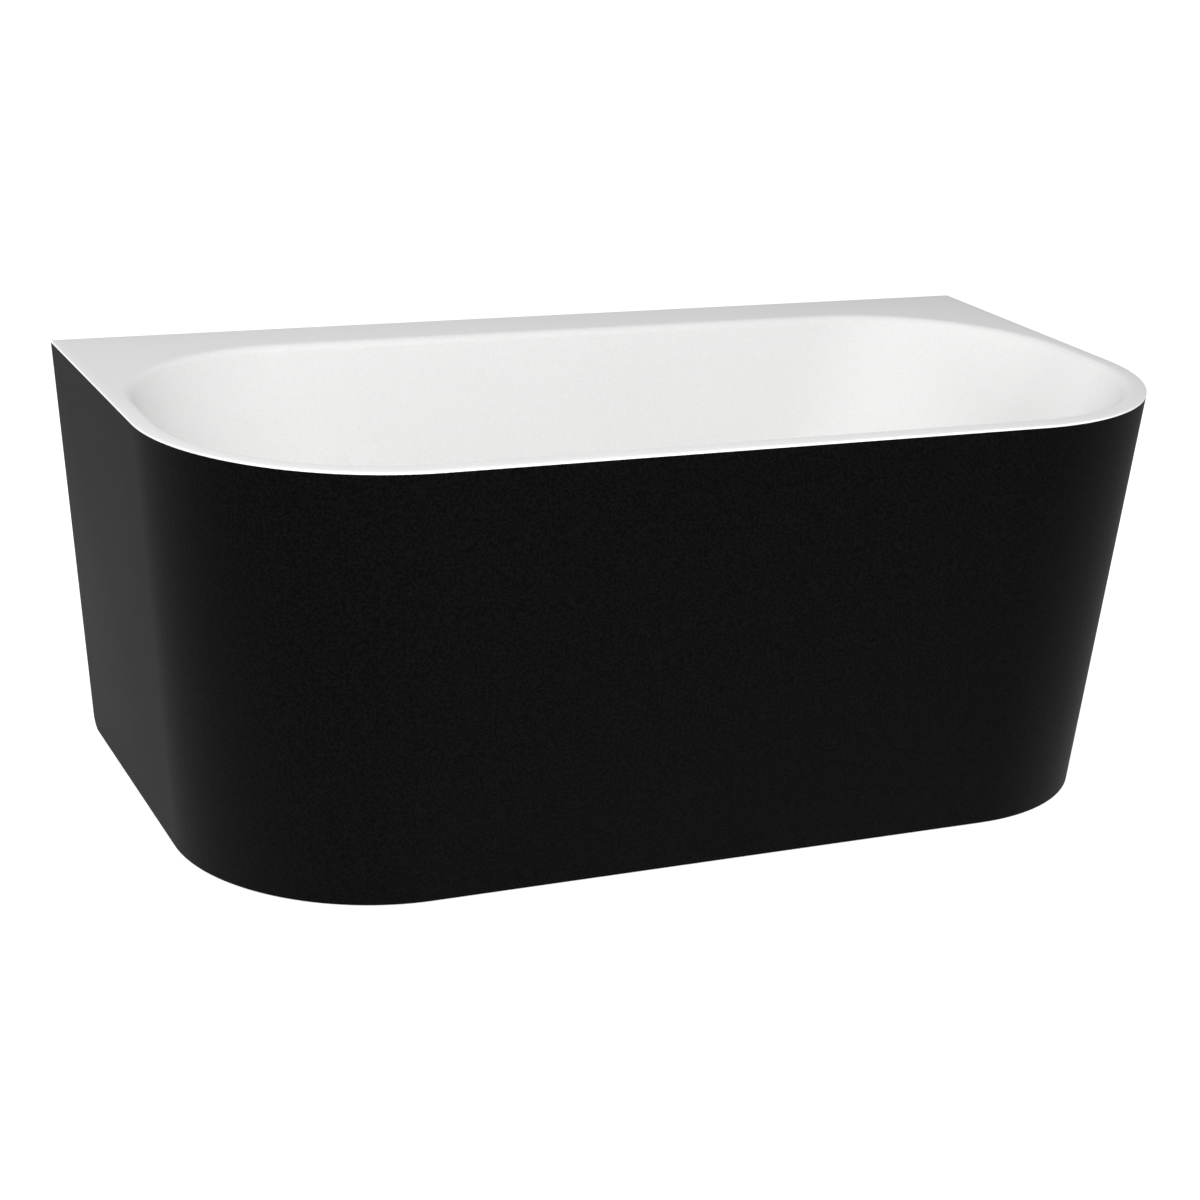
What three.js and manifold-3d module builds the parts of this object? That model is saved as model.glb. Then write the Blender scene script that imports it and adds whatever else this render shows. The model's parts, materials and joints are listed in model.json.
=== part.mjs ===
// A back-to-wall bathtub: a white acrylic bath on a steel frame with four levelling feet,
// enclosed on three sides by a matt black skirt, with its waste and overflow fittings.
// Millimetres, +Z up. X runs along the bath and +Y points at the wall behind it.
// The origin is on the floor, under the middle of the rim's outline.
import * as THREE from 'three';
import { LoftGeometry } from 'three/addons/geometries/LoftGeometry.js';
import { mergeVertices } from 'three/addons/utils/BufferGeometryUtils.js';
import Module from 'manifold-3d';

const wasm = await Module();
wasm.setup();

// Clearances
const GAP = 0.3; // between two pieces that touch
const THREAD_GAP = 0.4; // between a threaded shaft and its nut
const WELD_TOLERANCE = 1e-3; // vertices closer than this are one vertex
const CUT_BEYOND = 1; // how far a cutting shape runs past what it cuts

// Outline of the rim and the skirt
const LENGTH = 1500;
const DEPTH = 790;
const RIM_HEIGHT = 607;
const FRONT_CORNER_RADIUS = 315;
const REAR_CORNER_RADIUS = 3;
const SKIRT_FLOOR_GAP = 2;
const SKIRT_THICKNESS = 5;
const END_TAPER = 54; // how far each end leans in from the rim to the floor
const FRONT_TAPER = 45; // how far the front leans in from the rim to the floor
const BASE_CORNER_RADIUS = 275;
const SKIRT_RETURN = 40; // width of the flange that turns in along the wall
const SKIRT_HEEL_RADIUS = 22; // rounding of the lower rear corner, seen from the side

// Basin
const SHELL = 4; // acrylic
const BACKING = 4; // glass fibre under the acrylic
const BACKING_GAP = 0.5;
const BACKING_START = 24; // below the top of the rim
const END_RIM = 19; // flat width of the rim at each end
const FRONT_RIM = 24;
const REAR_RIM = 95;
const OPENING_RADIUS = 288;
const CORNER_TIGHTENING = 0.8; // how fast the corners tighten as the walls close in
const BASIN_DEPTH = 430;
const SIDE_LEAN = THREE.MathUtils.degToRad(8); // from vertical
const END_LEAN = THREE.MathUtils.degToRad(24);
const LIP_RADIUS = 14;
const FOOT_RADIUS = 80; // between wall and floor
const FLOOR_FALL = 5; // from the edge of the floor to the waste
const DISH_RADIUS = 60;

// Base board and steel frame
const BOARD_MARGIN = 30; // beyond the middle of the cross rails
const BOARD_SIDE_MARGIN = 20; // beyond the middle of the long rails
const BOARD_THICKNESS = 15;
const BOARD_CORNER = 60;
const RAIL = 30; // square tube
const RAIL_WALL = 2;
const RAIL_CORNER = 4;
const CROSS_RAIL_FROM_END = 350; // from the end of the rim to the middle of the cross rail
const CROSS_RAIL_ROOM = 49.5; // between the foot of the skirt and the end of a cross rail
const LONG_RAIL_FROM_END = 120; // from the end of a cross rail to the middle of the long rail
const END_CAP_PLATE = 2;
const END_CAP_PLUG = 6;
const BATTEN_FROM_END = 110;
const BATTEN_WIDTH = 45;
const BATTEN_THICKNESS = 18;
const BATTEN_FROM_WALL = 15;

// Screws
const BOARD_SCREW_RADIUS = 2.5;
const BOARD_SCREW_HEAD = 6;
const BOARD_SCREW_BITE = 11; // depth in the board
const BOARD_SCREW_FROM_RAIL = 50; // from the middle of the long rail
const BOARD_SCREW_POINT = 2;
const SCREW_HEAD_HEIGHT = 3;
const BRACKET_SCREW_LENGTH = 12;

// Levelling feet
const FOOT_FROM_END = 35; // from the end of a cross rail
const PAD_RADIUS = 25;
const PAD_SOCKET_FLOOR = 5;
const PAD_HEIGHT = 14;
const STUD_RADIUS = 6;
const STUD_REACH = 12.1; // above the rail
const STUD_CHAMFER = 1;
const STUD_HEX = 17; // across flats
const STUD_HEX_HEIGHT = 8;
const NUT_HEX = 19;
const NUT_HEIGHT = 10;
const PAD_HUB_WALL = 5; // round the socket
const PAD_EDGE_CHAMFER = 1;
const PAD_EDGE_HEIGHT = 4;
const PAD_SHOULDER_INSET = 7;
const PAD_SHOULDER_HEIGHT = 8;
const PAD_HUB_START = 9;
const STUD_HEX_LIFT = 2; // above the pad

// Brackets that hold the foot of the skirt to the frame
const BRACKET_WIDTH = 30;
const BRACKET_THICKNESS = 3;
const BRACKET_DROP = 40;
const BRACKET_LAP = 20; // length lying on the rail

// Waste
const WASTE_HOLE_ROOM = 1.3; // round the waste's neck
const RECESS_ROOM = 2.5; // round the waste's flange
const RECESS_DEPTH = 3;
const BACKING_HOLE_RADIUS = 50;
const BOARD_HOLE_RADIUS = 55;
const GASKET_THICKNESS = 1.5;
const FLANGE_RADIUS = 35.5;
const FLANGE_THICKNESS = 2.5;
const FLANGE_MOUTH_RADIUS = 28;
const NECK_RADIUS = 25.7;
const NECK_BORE = 22.5;
const NECK_LENGTH = 40;
const BODY_SEAL_THICKNESS = 3;
const BODY_FLANGE_RADIUS = 36;
const BODY_FLANGE_THICKNESS = 4;
const BODY_RADIUS = 30;
const BODY_LENGTH = 84;
const BODY_FLOOR_FALL = 2; // from the chamber's wall to the outlet
const OUTLET_RADIUS = 23.9;
const OUTLET_BORE = 20.5;
const OUTLET_LENGTH = 22;
const SPIGOT_LIFT = 12.6; // from the bottom of the body to the middle of the spigot
const PLUG_RADIUS = 31;
const PLUG_TRAVEL = 10;
const PLUG_THICKNESS = 4;
const PLUG_EDGE_HEIGHT = 2;
const PLUG_DOME_INSET = 3;
const PLUG_DOME_RISE = 0.6;
const PLUG_SEAL_RADIUS = 27;
const PLUG_SEAL_BORE = 16;
const PLUG_SEAL_THICKNESS = 2;
const PLUG_SHUT_GAP = 0.4; // above the flange when the plug is down
const CARTRIDGE_RADIUS = 11;
const CARTRIDGE_ROOM = 0.6; // round the stem's collar
const CARTRIDGE_DROP = 4; // below the plug's seal when it is shut
const CARTRIDGE_HEIGHT = 26;
const CARTRIDGE_FLOOR = 3;
const CARTRIDGE_ARM = 4;
const STEM_RADIUS = 4;
const STEM_COLLAR_RADIUS = 7.8;
const STEM_COLLAR_HEIGHT = 3;
const STEM_TAIL = 2; // below the cartridge
const SPRING_RADIUS = 6;
const SPRING_WIRE_RADIUS = 0.6;
const SPRING_TURNS = 4;

// Overflow
const OVERFLOW_DROP = 90; // below the top of the rim
const OVERFLOW_HOLE_ROOM = 1; // round the ring's neck
const WALL_CUT_BEYOND = 5; // how far the hole's cutter runs past the wall
const OVERFLOW_RING_RADIUS = 30;
const OVERFLOW_NECK_RADIUS = 17;
const OVERFLOW_NECK_BORE = 14;
const OVERFLOW_NECK_LENGTH = 17;
const OVERFLOW_RING_LIFT = 3;
const OVERFLOW_RING_EDGE = 1.5;
const OVERFLOW_RING_BEVEL = 3;
const OVERFLOW_BAR_WIDTH = 8;
const OVERFLOW_BAR_THICKNESS = 4;
const OVERFLOW_COVER_RADIUS = 35;
const OVERFLOW_COVER_LIFT = 7.5;
const OVERFLOW_COVER_THICKNESS = 3;
const OVERFLOW_COVER_POST = 5; // radius of the spacer behind the cover
const OVERFLOW_SCREW_RADIUS = 2;
const OVERFLOW_SCREW_HEAD = 4.5;
const OVERFLOW_SCREW_HEAD_HEIGHT = 2;
const OVERFLOW_SCREW_BITE = 6; // below the surface of the bath
const OVERFLOW_SEAL_THICKNESS = 2;
const ELBOW_SIDE_WALL = 6.6; // round the ring's neck
const ELBOW_FLANGE_LIP = 3;
const ELBOW_FLANGE_THICKNESS = 3;
const ELBOW_WALL = 2.5;
const EDGE_CHAMFER = 1; // along the edges of turned fittings
const SPIGOT_RADIUS = 9.5;
const SPIGOT_WALL = 2.5;
const SPIGOT_LENGTH = 32;
const HOSE_ROOM = 0.8; // between a spigot and the hose pushed over it
const HOSE_WALL = 1.7;
const HOSE_LAP = 20; // length pushed over each spigot
const HOSE_NUT_WALL = 1.9;
const HOSE_NUT_ROOM = 0.4; // between the upper nut and the glass fibre
const HOSE_NUT_LENGTH = 16;
const HOSE_STRAIGHT = 15; // beyond each spigot
const HOSE_UPPER_PULL = 0.55; // how far the upper end's direction carries into the bend,
// as a share of the height between the spigots
const HOSE_LOWER_PULL = 1.07; // the same for the lower end, as a share of the way forward

// Fineness of the curves
const CORNER_STEPS = 9;
const LIP_STEPS = 3;
const FOOT_STEPS = 5;
const WASTE_STEPS = 24;
const ROUND_STEPS = 16;
const SMALL_ROUND_STEPS = 10;
const HOSE_SIDES = 12;
const HOSE_STEPS = 20;

// Levels and places that follow from the sizes above
const SKIRT_TOP = RIM_HEIGHT - SHELL - GAP;
const OPENING_FRONT = -DEPTH / 2 + FRONT_RIM;
const OPENING_REAR = DEPTH / 2 - REAR_RIM;
const BASIN_Y = (OPENING_FRONT + OPENING_REAR) / 2;
const BACKING_INSIDE = SHELL + BACKING_GAP;
const BACKING_OUTSIDE = BACKING_INSIDE + BACKING;
const DISH_Z = RIM_HEIGHT - BASIN_DEPTH - FLOOR_FALL;
const RECESS_Z = DISH_Z - RECESS_DEPTH;
const BOARD_TOP = DISH_Z - BACKING_OUTSIDE - GAP;
const RAIL_TOP = BOARD_TOP - BOARD_THICKNESS - GAP;
const RAIL_Z = RAIL_TOP - RAIL / 2;
const RAIL_BOTTOM = RAIL_TOP - RAIL;
const FOOT_OF_SKIRT = -DEPTH / 2 + FRONT_TAPER + SKIRT_THICKNESS;
const CROSS_RAIL_LENGTH = 2 * (BASIN_Y - FOOT_OF_SKIRT - CROSS_RAIL_ROOM);
const CROSS_RAIL_X = LENGTH / 2 - CROSS_RAIL_FROM_END;
const LONG_RAIL_OFFSET = CROSS_RAIL_LENGTH / 2 - LONG_RAIL_FROM_END;
const FOOT_OFFSET = CROSS_RAIL_LENGTH / 2 - FOOT_FROM_END;
const BOARD_SCREW_OFFSET = LONG_RAIL_OFFSET - BOARD_SCREW_FROM_RAIL;
const BOARD_LENGTH = 2 * (CROSS_RAIL_X + BOARD_MARGIN);
const BOARD_WIDTH = 2 * (LONG_RAIL_OFFSET + BOARD_SIDE_MARGIN);
const BATTEN_LENGTH = LENGTH - 2 * BATTEN_FROM_END;
const STUD_TOP = RAIL_TOP + STUD_REACH;
const WASTE_HOLE_RADIUS = NECK_RADIUS + WASTE_HOLE_ROOM;
const RECESS_RADIUS = FLANGE_RADIUS + RECESS_ROOM;
const OVERFLOW_HOLE_RADIUS = OVERFLOW_NECK_RADIUS + OVERFLOW_HOLE_ROOM;
const CARTRIDGE_BORE = STEM_COLLAR_RADIUS + CARTRIDGE_ROOM;
const ELBOW_RADIUS = OVERFLOW_NECK_RADIUS + THREAD_GAP + ELBOW_SIDE_WALL;
const ELBOW_FLANGE_RADIUS = ELBOW_RADIUS + ELBOW_FLANGE_LIP;
const SPIGOT_BORE = SPIGOT_RADIUS - SPIGOT_WALL;
const HOSE_BORE = SPIGOT_RADIUS + HOSE_ROOM;
const HOSE_RADIUS = HOSE_BORE + HOSE_WALL;
const HOSE_NUT_RADIUS = HOSE_RADIUS + GAP + HOSE_NUT_WALL;

const MATERIALS = {
  acrylic: finish(0xf3f3f1, 0.18, 0),
  glassFibre: finish(0xc9c3a4, 0.7, 0),
  skirt: finish(0x101010, 0.55, 0),
  timber: finish(0xb98f5e, 0.8, 0),
  galvanised: finish(0x9aa0a4, 0.45, 0.9),
  zinc: finish(0xb8bcc0, 0.35, 1),
  blackPlastic: finish(0x1b1b1c, 0.6, 0),
  whitePlastic: finish(0xe6e6e2, 0.4, 0),
  chrome: finish(0xd9dce0, 0.08, 1),
  rubber: finish(0x151515, 0.85, 0),
};

function finish(color, roughness, metalness) {
  return new THREE.MeshStandardMaterial({ color, roughness, metalness });
}

// ---- Solids ----

// A geometry as one welded closed surface that holds only positions
function welded(geometry) {
  const bare = new THREE.BufferGeometry().copy(geometry);
  bare.deleteAttribute('uv');
  bare.deleteAttribute('normal');
  const merged = mergeVertices(bare, WELD_TOLERANCE);
  const corners = Array.from(merged.index.array);
  const kept = [];
  for (let i = 0; i < corners.length; i += 3) {
    const [a, b, c] = corners.slice(i, i + 3);
    if (a !== b && b !== c && c !== a) kept.push(a, b, c);
  }
  merged.setIndex(kept);
  if (signedVolume(merged) < 0) merged.setIndex(kept.reverse());
  return merged;
}

function signedVolume(geometry) {
  const position = geometry.getAttribute('position');
  const point = (corner) => new THREE.Vector3().fromBufferAttribute(position, corner);
  const corners = geometry.index.array;
  let volume = 0;
  for (let i = 0; i < corners.length; i += 3) {
    const [a, b, c] = [point(corners[i]), point(corners[i + 1]), point(corners[i + 2])];
    volume += a.dot(b.cross(c)) / 6;
  }
  return volume;
}

function toManifold(geometry) {
  const body = welded(geometry);
  return new wasm.Manifold(new wasm.Mesh({
    numProp: 3,
    vertProperties: new Float32Array(body.getAttribute('position').array),
    triVerts: new Uint32Array(body.index.array),
  }));
}

function toGeometry(manifold) {
  const mesh = manifold.getMesh();
  const geometry = new THREE.BufferGeometry();
  geometry.setAttribute('position', new THREE.BufferAttribute(mesh.vertProperties, 3));
  geometry.setIndex(new THREE.BufferAttribute(mesh.triVerts, 1));
  geometry.computeVertexNormals();
  return geometry;
}

// Base joined with every added shape, less every cut shape
function combined(base, added, cuts) {
  let solid = toManifold(base);
  for (const shape of added) solid = solid.add(toManifold(shape));
  for (const shape of cuts) solid = solid.subtract(toManifold(shape));
  return toGeometry(solid);
}

function piece(name, geometry, material) {
  const mesh = new THREE.Mesh(welded(geometry), material);
  mesh.name = name;
  return mesh;
}

// A solid turned about Z from [radius, height] points
function turned(profile, steps = ROUND_STEPS) {
  const points = profile.map(([radius, height]) => new THREE.Vector2(radius, height));
  return new THREE.LatheGeometry(points, steps).rotateX(Math.PI / 2);
}

// The same from a profile that doesn't reach the axis, closed on itself
function turnedRing(profile, steps = ROUND_STEPS) {
  return turned([...profile, profile[0]], steps);
}

// A plain disc, rod or washer about Z, between two heights
function rod(radius, bottom, top, steps = ROUND_STEPS) {
  return turned([[0, bottom], [radius, bottom], [radius, top], [0, top]], steps);
}

function washer(bore, radius, bottom, top, steps = ROUND_STEPS) {
  return turnedRing([[bore, bottom], [radius, bottom], [radius, top], [bore, top]], steps);
}

function hexagon(acrossFlats, bottom, top) {
  return rod(acrossFlats / Math.sqrt(3), bottom, top, 6);
}

function roundedRectangle(width, height, radius) {
  const [x, y] = [width / 2, height / 2];
  const shape = new THREE.Shape();
  shape.moveTo(x, -y + radius);
  shape.lineTo(x, y - radius);
  shape.absarc(x - radius, y - radius, radius, 0, Math.PI / 2);
  shape.lineTo(-x + radius, y);
  shape.absarc(-x + radius, y - radius, radius, Math.PI / 2, Math.PI);
  shape.lineTo(-x, -y + radius);
  shape.absarc(-x + radius, -y + radius, radius, Math.PI, 1.5 * Math.PI);
  shape.lineTo(x - radius, -y);
  shape.absarc(x - radius, -y + radius, radius, 1.5 * Math.PI, 2 * Math.PI);
  return shape;
}

function extruded(shape, depth, curveSegments = 4) {
  return new THREE.ExtrudeGeometry(shape, { depth, curveSegments, bevelEnabled: false });
}

// ---- Basin ----

// One wall of the basin in section, as inset from the opening's edge against drop below the rim:
// a rounded lip, a straight leaning wall and a rounded foot that runs out into the floor
function wallSection(lean, depth) {
  const footDrop = depth - FOOT_RADIUS;
  const wallTop = LIP_RADIUS * (1 - Math.sin(lean));
  const wallFoot = footDrop + FOOT_RADIUS * Math.sin(lean);
  const wallRun = (wallFoot - wallTop) * Math.tan(lean);
  const footInset = (LIP_RADIUS + FOOT_RADIUS) * Math.cos(lean) + wallRun;
  return { lean, footDrop, footInset };
}

// Inset of that wall at a drop, with the surface moved out by an offset
function insetAt(wall, drop, offset) {
  const lip = LIP_RADIUS - offset;
  const foot = FOOT_RADIUS + offset;
  const wallTop = LIP_RADIUS - lip * Math.sin(wall.lean);
  const wallFoot = wall.footDrop + foot * Math.sin(wall.lean);
  if (drop <= wallTop) return Math.sqrt(Math.max(0, lip ** 2 - (LIP_RADIUS - drop) ** 2));
  if (drop < wallFoot) return lip * Math.cos(wall.lean) + (drop - wallTop) * Math.tan(wall.lean);
  return wall.footInset - Math.sqrt(Math.max(0, foot ** 2 - (drop - wall.footDrop) ** 2));
}

// The drops at which the basin's surface has a ring of points: round the lip, then round the foot
function lipDrops(wall, offset) {
  const sweep = Math.PI / 2 - wall.lean;
  const drops = [];
  for (let step = 0; step <= LIP_STEPS; step += 1) {
    drops.push(LIP_RADIUS - (LIP_RADIUS - offset) * Math.cos((sweep * step) / LIP_STEPS));
  }
  return drops;
}

function footDrops(wall, offset) {
  const sweep = Math.PI / 2 - wall.lean;
  const drops = [];
  for (let step = 0; step <= FOOT_STEPS; step += 1) {
    const angle = wall.lean + (sweep * step) / FOOT_STEPS;
    drops.push(wall.footDrop + (FOOT_RADIUS + offset) * Math.sin(angle));
  }
  return drops;
}

// Points round a rectangle with rounded corners, anticlockwise from above
function ring(halfLength, front, rear, frontRadius, rearRadius, z) {
  const corners = [
    [halfLength - frontRadius, front + frontRadius, frontRadius, -0.5],
    [halfLength - rearRadius, rear - rearRadius, rearRadius, 0],
    [-halfLength + rearRadius, rear - rearRadius, rearRadius, 0.5],
    [-halfLength + frontRadius, front + frontRadius, frontRadius, 1],
  ];
  const points = [];
  for (const [x, y, radius, start] of corners) {
    for (let step = 0; step <= CORNER_STEPS; step += 1) {
      const angle = Math.PI * (start + (0.5 * step) / CORNER_STEPS);
      points.push(new THREE.Vector3(x + radius * Math.cos(angle), y + radius * Math.sin(angle), z));
    }
  }
  return points;
}

function roundRing(radius, z) {
  return ring(radius, BASIN_Y - radius, BASIN_Y + radius, radius, radius, z);
}

function rimRing(z) {
  const [halfLength, halfDepth] = [LENGTH / 2, DEPTH / 2];
  return ring(halfLength, -halfDepth, halfDepth, FRONT_CORNER_RADIUS, REAR_CORNER_RADIUS, z);
}

function basinRings(drops, offset, sideWall, endWall) {
  return drops.map((drop) => {
    const sideInset = insetAt(sideWall, drop, offset);
    const endInset = insetAt(endWall, drop, offset);
    const radius = OPENING_RADIUS - CORNER_TIGHTENING * sideInset;
    const halfLength = LENGTH / 2 - END_RIM - endInset;
    const front = OPENING_FRONT + sideInset;
    const rear = OPENING_REAR - sideInset;
    return ring(halfLength, front, rear, radius, radius, RIM_HEIGHT - drop);
  });
}

// A surface of the bath from the opening's edge down to the hole for the waste
function bathSurface(offset) {
  const sideWall = wallSection(SIDE_LEAN, BASIN_DEPTH);
  const endWall = wallSection(END_LEAN, BASIN_DEPTH);
  const drops = [...lipDrops(sideWall, offset), ...footDrops(sideWall, offset)];
  return [
    ...basinRings(drops, offset, sideWall, endWall),
    roundRing(DISH_RADIUS, DISH_Z - offset),
    roundRing(RECESS_RADIUS + offset, DISH_Z - offset),
    roundRing(RECESS_RADIUS + offset, RECESS_Z - offset),
    roundRing(WASTE_HOLE_RADIUS, RECESS_Z - offset),
  ];
}

// Skin through rings that run up one surface and down the other, closed through the waste hole
function loopedLoft(rings) {
  return new LoftGeometry([...rings, rings[0]]);
}

function overflowCutter() {
  const cutter = rod(OVERFLOW_HOLE_RADIUS, -BACKING_OUTSIDE - WALL_CUT_BEYOND, WALL_CUT_BEYOND);
  return cutter.applyMatrix4(overflow.matrix);
}

function makeBathShell() {
  const underside = bathSurface(SHELL).reverse();
  const rim = [rimRing(RIM_HEIGHT - SHELL), rimRing(RIM_HEIGHT)];
  const bath = loopedLoft([...underside, ...rim, ...bathSurface(0)]);
  return piece('bath_shell', combined(bath, [], [overflowCutter()]), MATERIALS.acrylic);
}

// The glass fibre is flat underneath, so it's thicker at the edge of the floor than at the dish
function makeBacking() {
  const upper = [wallSection(SIDE_LEAN, BASIN_DEPTH), wallSection(END_LEAN, BASIN_DEPTH)];
  const flatDepth = BASIN_DEPTH + FLOOR_FALL;
  const lower = [wallSection(SIDE_LEAN, flatDepth), wallSection(END_LEAN, flatDepth)];
  const outsideDrops = [BACKING_START, ...footDrops(lower[0], BACKING_OUTSIDE)];
  const insideDrops = [BACKING_START, ...footDrops(upper[0], BACKING_INSIDE)];
  const layer = loopedLoft([
    roundRing(BACKING_HOLE_RADIUS, DISH_Z - BACKING_OUTSIDE),
    ...basinRings(outsideDrops, BACKING_OUTSIDE, ...lower).reverse(),
    ...basinRings(insideDrops, BACKING_INSIDE, ...upper),
    roundRing(DISH_RADIUS, DISH_Z - BACKING_INSIDE),
    roundRing(BACKING_HOLE_RADIUS, DISH_Z - BACKING_INSIDE),
  ]);
  const backing = combined(layer, [], [overflowCutter()]);
  return piece('glass_fibre_backing', backing, MATERIALS.glassFibre);
}

// ---- Skirt ----

function skirtRise(z) {
  return (z - SKIRT_FLOOR_GAP) / (SKIRT_TOP - SKIRT_FLOOR_GAP);
}

function skirtFront(z) {
  return -DEPTH / 2 + FRONT_TAPER * (1 - skirtRise(z));
}

// Half of the skirt's path round the bath at one height, from the middle of the front
// to the end of the flange along the wall, moved in by an inset
function halfSkirtLine(z, inset) {
  const rise = skirtRise(z);
  const halfLength = LENGTH / 2 - END_TAPER * (1 - rise);
  const radius = THREE.MathUtils.lerp(BASE_CORNER_RADIUS, FRONT_CORNER_RADIUS, rise);
  const [centreX, centreY] = [halfLength - radius, skirtFront(z) + radius];
  const line = [];
  for (let step = 0; step <= CORNER_STEPS; step += 1) {
    const angle = (-Math.PI / 2) * (1 - step / CORNER_STEPS);
    const x = centreX + (radius - inset) * Math.cos(angle);
    const y = centreY + (radius - inset) * Math.sin(angle);
    line.push(new THREE.Vector3(x, y, z));
  }
  line.push(new THREE.Vector3(halfLength - inset, DEPTH / 2 - inset, z));
  line.push(new THREE.Vector3(halfLength - SKIRT_RETURN, DEPTH / 2 - inset, z));
  return line;
}

function skirtLine(z, inset) {
  const right = halfSkirtLine(z, inset);
  const left = right.map(({ x, y }) => new THREE.Vector3(-x, y, z)).reverse();
  return [...left, ...right];
}

// Removes what lies outside the rounded lower rear corner
function heelCutter() {
  const reach = SKIRT_HEEL_RADIUS + CUT_BEYOND;
  const shape = new THREE.Shape();
  shape.moveTo(0, -reach);
  shape.lineTo(reach, -reach);
  shape.lineTo(reach, 0);
  shape.lineTo(SKIRT_HEEL_RADIUS, 0);
  shape.absarc(0, 0, SKIRT_HEEL_RADIUS, 0, -Math.PI / 2, true);
  const cutter = extruded(shape, LENGTH, 8).rotateX(Math.PI / 2).rotateZ(Math.PI / 2);
  const heelY = DEPTH / 2 - SKIRT_HEEL_RADIUS;
  return cutter.translate(-LENGTH / 2, heelY, SKIRT_FLOOR_GAP + SKIRT_HEEL_RADIUS);
}

function makeSkirt() {
  const bottom = SKIRT_FLOOR_GAP;
  const lines = [
    skirtLine(bottom, 0),
    skirtLine(bottom, SKIRT_THICKNESS),
    skirtLine(SKIRT_TOP, SKIRT_THICKNESS),
    skirtLine(SKIRT_TOP, 0),
  ];
  const sections = lines[0].map((_, station) => lines.map((line) => line[station]));
  const wall = new LoftGeometry(sections, { capStart: true, capEnd: true });
  return piece('skirt', combined(wall, [], [heelCutter()]), MATERIALS.skirt);
}

// ---- Base board, battens and frame ----

function makeBaseBoard(screwPlaces) {
  const outline = roundedRectangle(BOARD_LENGTH, BOARD_WIDTH, BOARD_CORNER);
  const board = extruded(outline, BOARD_THICKNESS).translate(0, BASIN_Y, BOARD_TOP - BOARD_THICKNESS);
  const bottom = BOARD_TOP - BOARD_THICKNESS;
  const wasteHole = rod(BOARD_HOLE_RADIUS, bottom - CUT_BEYOND, BOARD_TOP + CUT_BEYOND);
  const holes = [wasteHole.translate(0, BASIN_Y, 0)];
  for (const [x, y] of screwPlaces) {
    const top = bottom + BOARD_SCREW_BITE + GAP;
    const hole = rod(BOARD_SCREW_RADIUS + GAP, bottom - CUT_BEYOND, top, SMALL_ROUND_STEPS);
    holes.push(hole.translate(x, y, 0));
  }
  return piece('base_board', combined(board, [], holes), MATERIALS.timber);
}

function makeRimBatten() {
  const batten = new THREE.BoxGeometry(BATTEN_LENGTH, BATTEN_WIDTH, BATTEN_THICKNESS);
  const mesh = piece('rim_batten', batten, MATERIALS.timber);
  const y = DEPTH / 2 - BATTEN_FROM_WALL - BATTEN_WIDTH / 2;
  mesh.position.set(0, y, RIM_HEIGHT - SHELL - GAP - BATTEN_THICKNESS / 2);
  return mesh;
}

// A square tube about Z, centred on the origin
function squareTube(length) {
  const section = roundedRectangle(RAIL, RAIL, RAIL_CORNER);
  const inside = RAIL - 2 * RAIL_WALL;
  section.holes.push(roundedRectangle(inside, inside, RAIL_CORNER - RAIL_WALL));
  return extruded(section, length, 2).translate(0, 0, -length / 2);
}

function makeLongRail(name, side) {
  const length = 2 * CROSS_RAIL_X - RAIL - 2 * GAP;
  const mesh = piece(name, squareTube(length).rotateY(Math.PI / 2), MATERIALS.galvanised);
  mesh.position.set(0, BASIN_Y + side * LONG_RAIL_OFFSET, RAIL_Z);
  return mesh;
}

function makeCrossRail(name, side) {
  const tube = squareTube(CROSS_RAIL_LENGTH).rotateX(Math.PI / 2);
  const through = RAIL / 2 + CUT_BEYOND;
  const cuts = [];
  for (const end of [-1, 1]) {
    const stud = rod(STUD_RADIUS + THREAD_GAP, -through, through, SMALL_ROUND_STEPS);
    cuts.push(stud.translate(0, end * FOOT_OFFSET, 0));
    const screw = rod(BOARD_SCREW_RADIUS + GAP, -through, through, SMALL_ROUND_STEPS);
    cuts.push(screw.translate(0, end * BOARD_SCREW_OFFSET, 0));
  }
  const bracketScrew = rod(BOARD_SCREW_RADIUS + GAP, 0, through, SMALL_ROUND_STEPS);
  cuts.push(bracketScrew.translate(0, bracketScrewY() - BASIN_Y, 0));
  const mesh = piece(name, combined(tube, [], cuts), MATERIALS.galvanised);
  mesh.position.set(side * CROSS_RAIL_X, BASIN_Y, RAIL_Z);
  return mesh;
}

// A plastic plug with a square plate that closes the end of a cross rail
function makeEndCap(name, side, end) {
  const plate = extruded(roundedRectangle(RAIL, RAIL, RAIL_CORNER), END_CAP_PLATE, 2);
  const inside = RAIL - 2 * RAIL_WALL - 2 * GAP;
  const plugOutline = roundedRectangle(inside, inside, RAIL_CORNER - RAIL_WALL);
  const plug = extruded(plugOutline, END_CAP_PLUG + END_CAP_PLATE / 2, 2);
  const cap = combined(plate, [plug.translate(0, 0, -END_CAP_PLUG)], []);
  const mesh = piece(name, cap, MATERIALS.blackPlastic);
  mesh.rotation.x = (-end * Math.PI) / 2;
  mesh.position.set(side * CROSS_RAIL_X, BASIN_Y + end * (CROSS_RAIL_LENGTH / 2 + GAP), RAIL_Z);
  return mesh;
}

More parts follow.
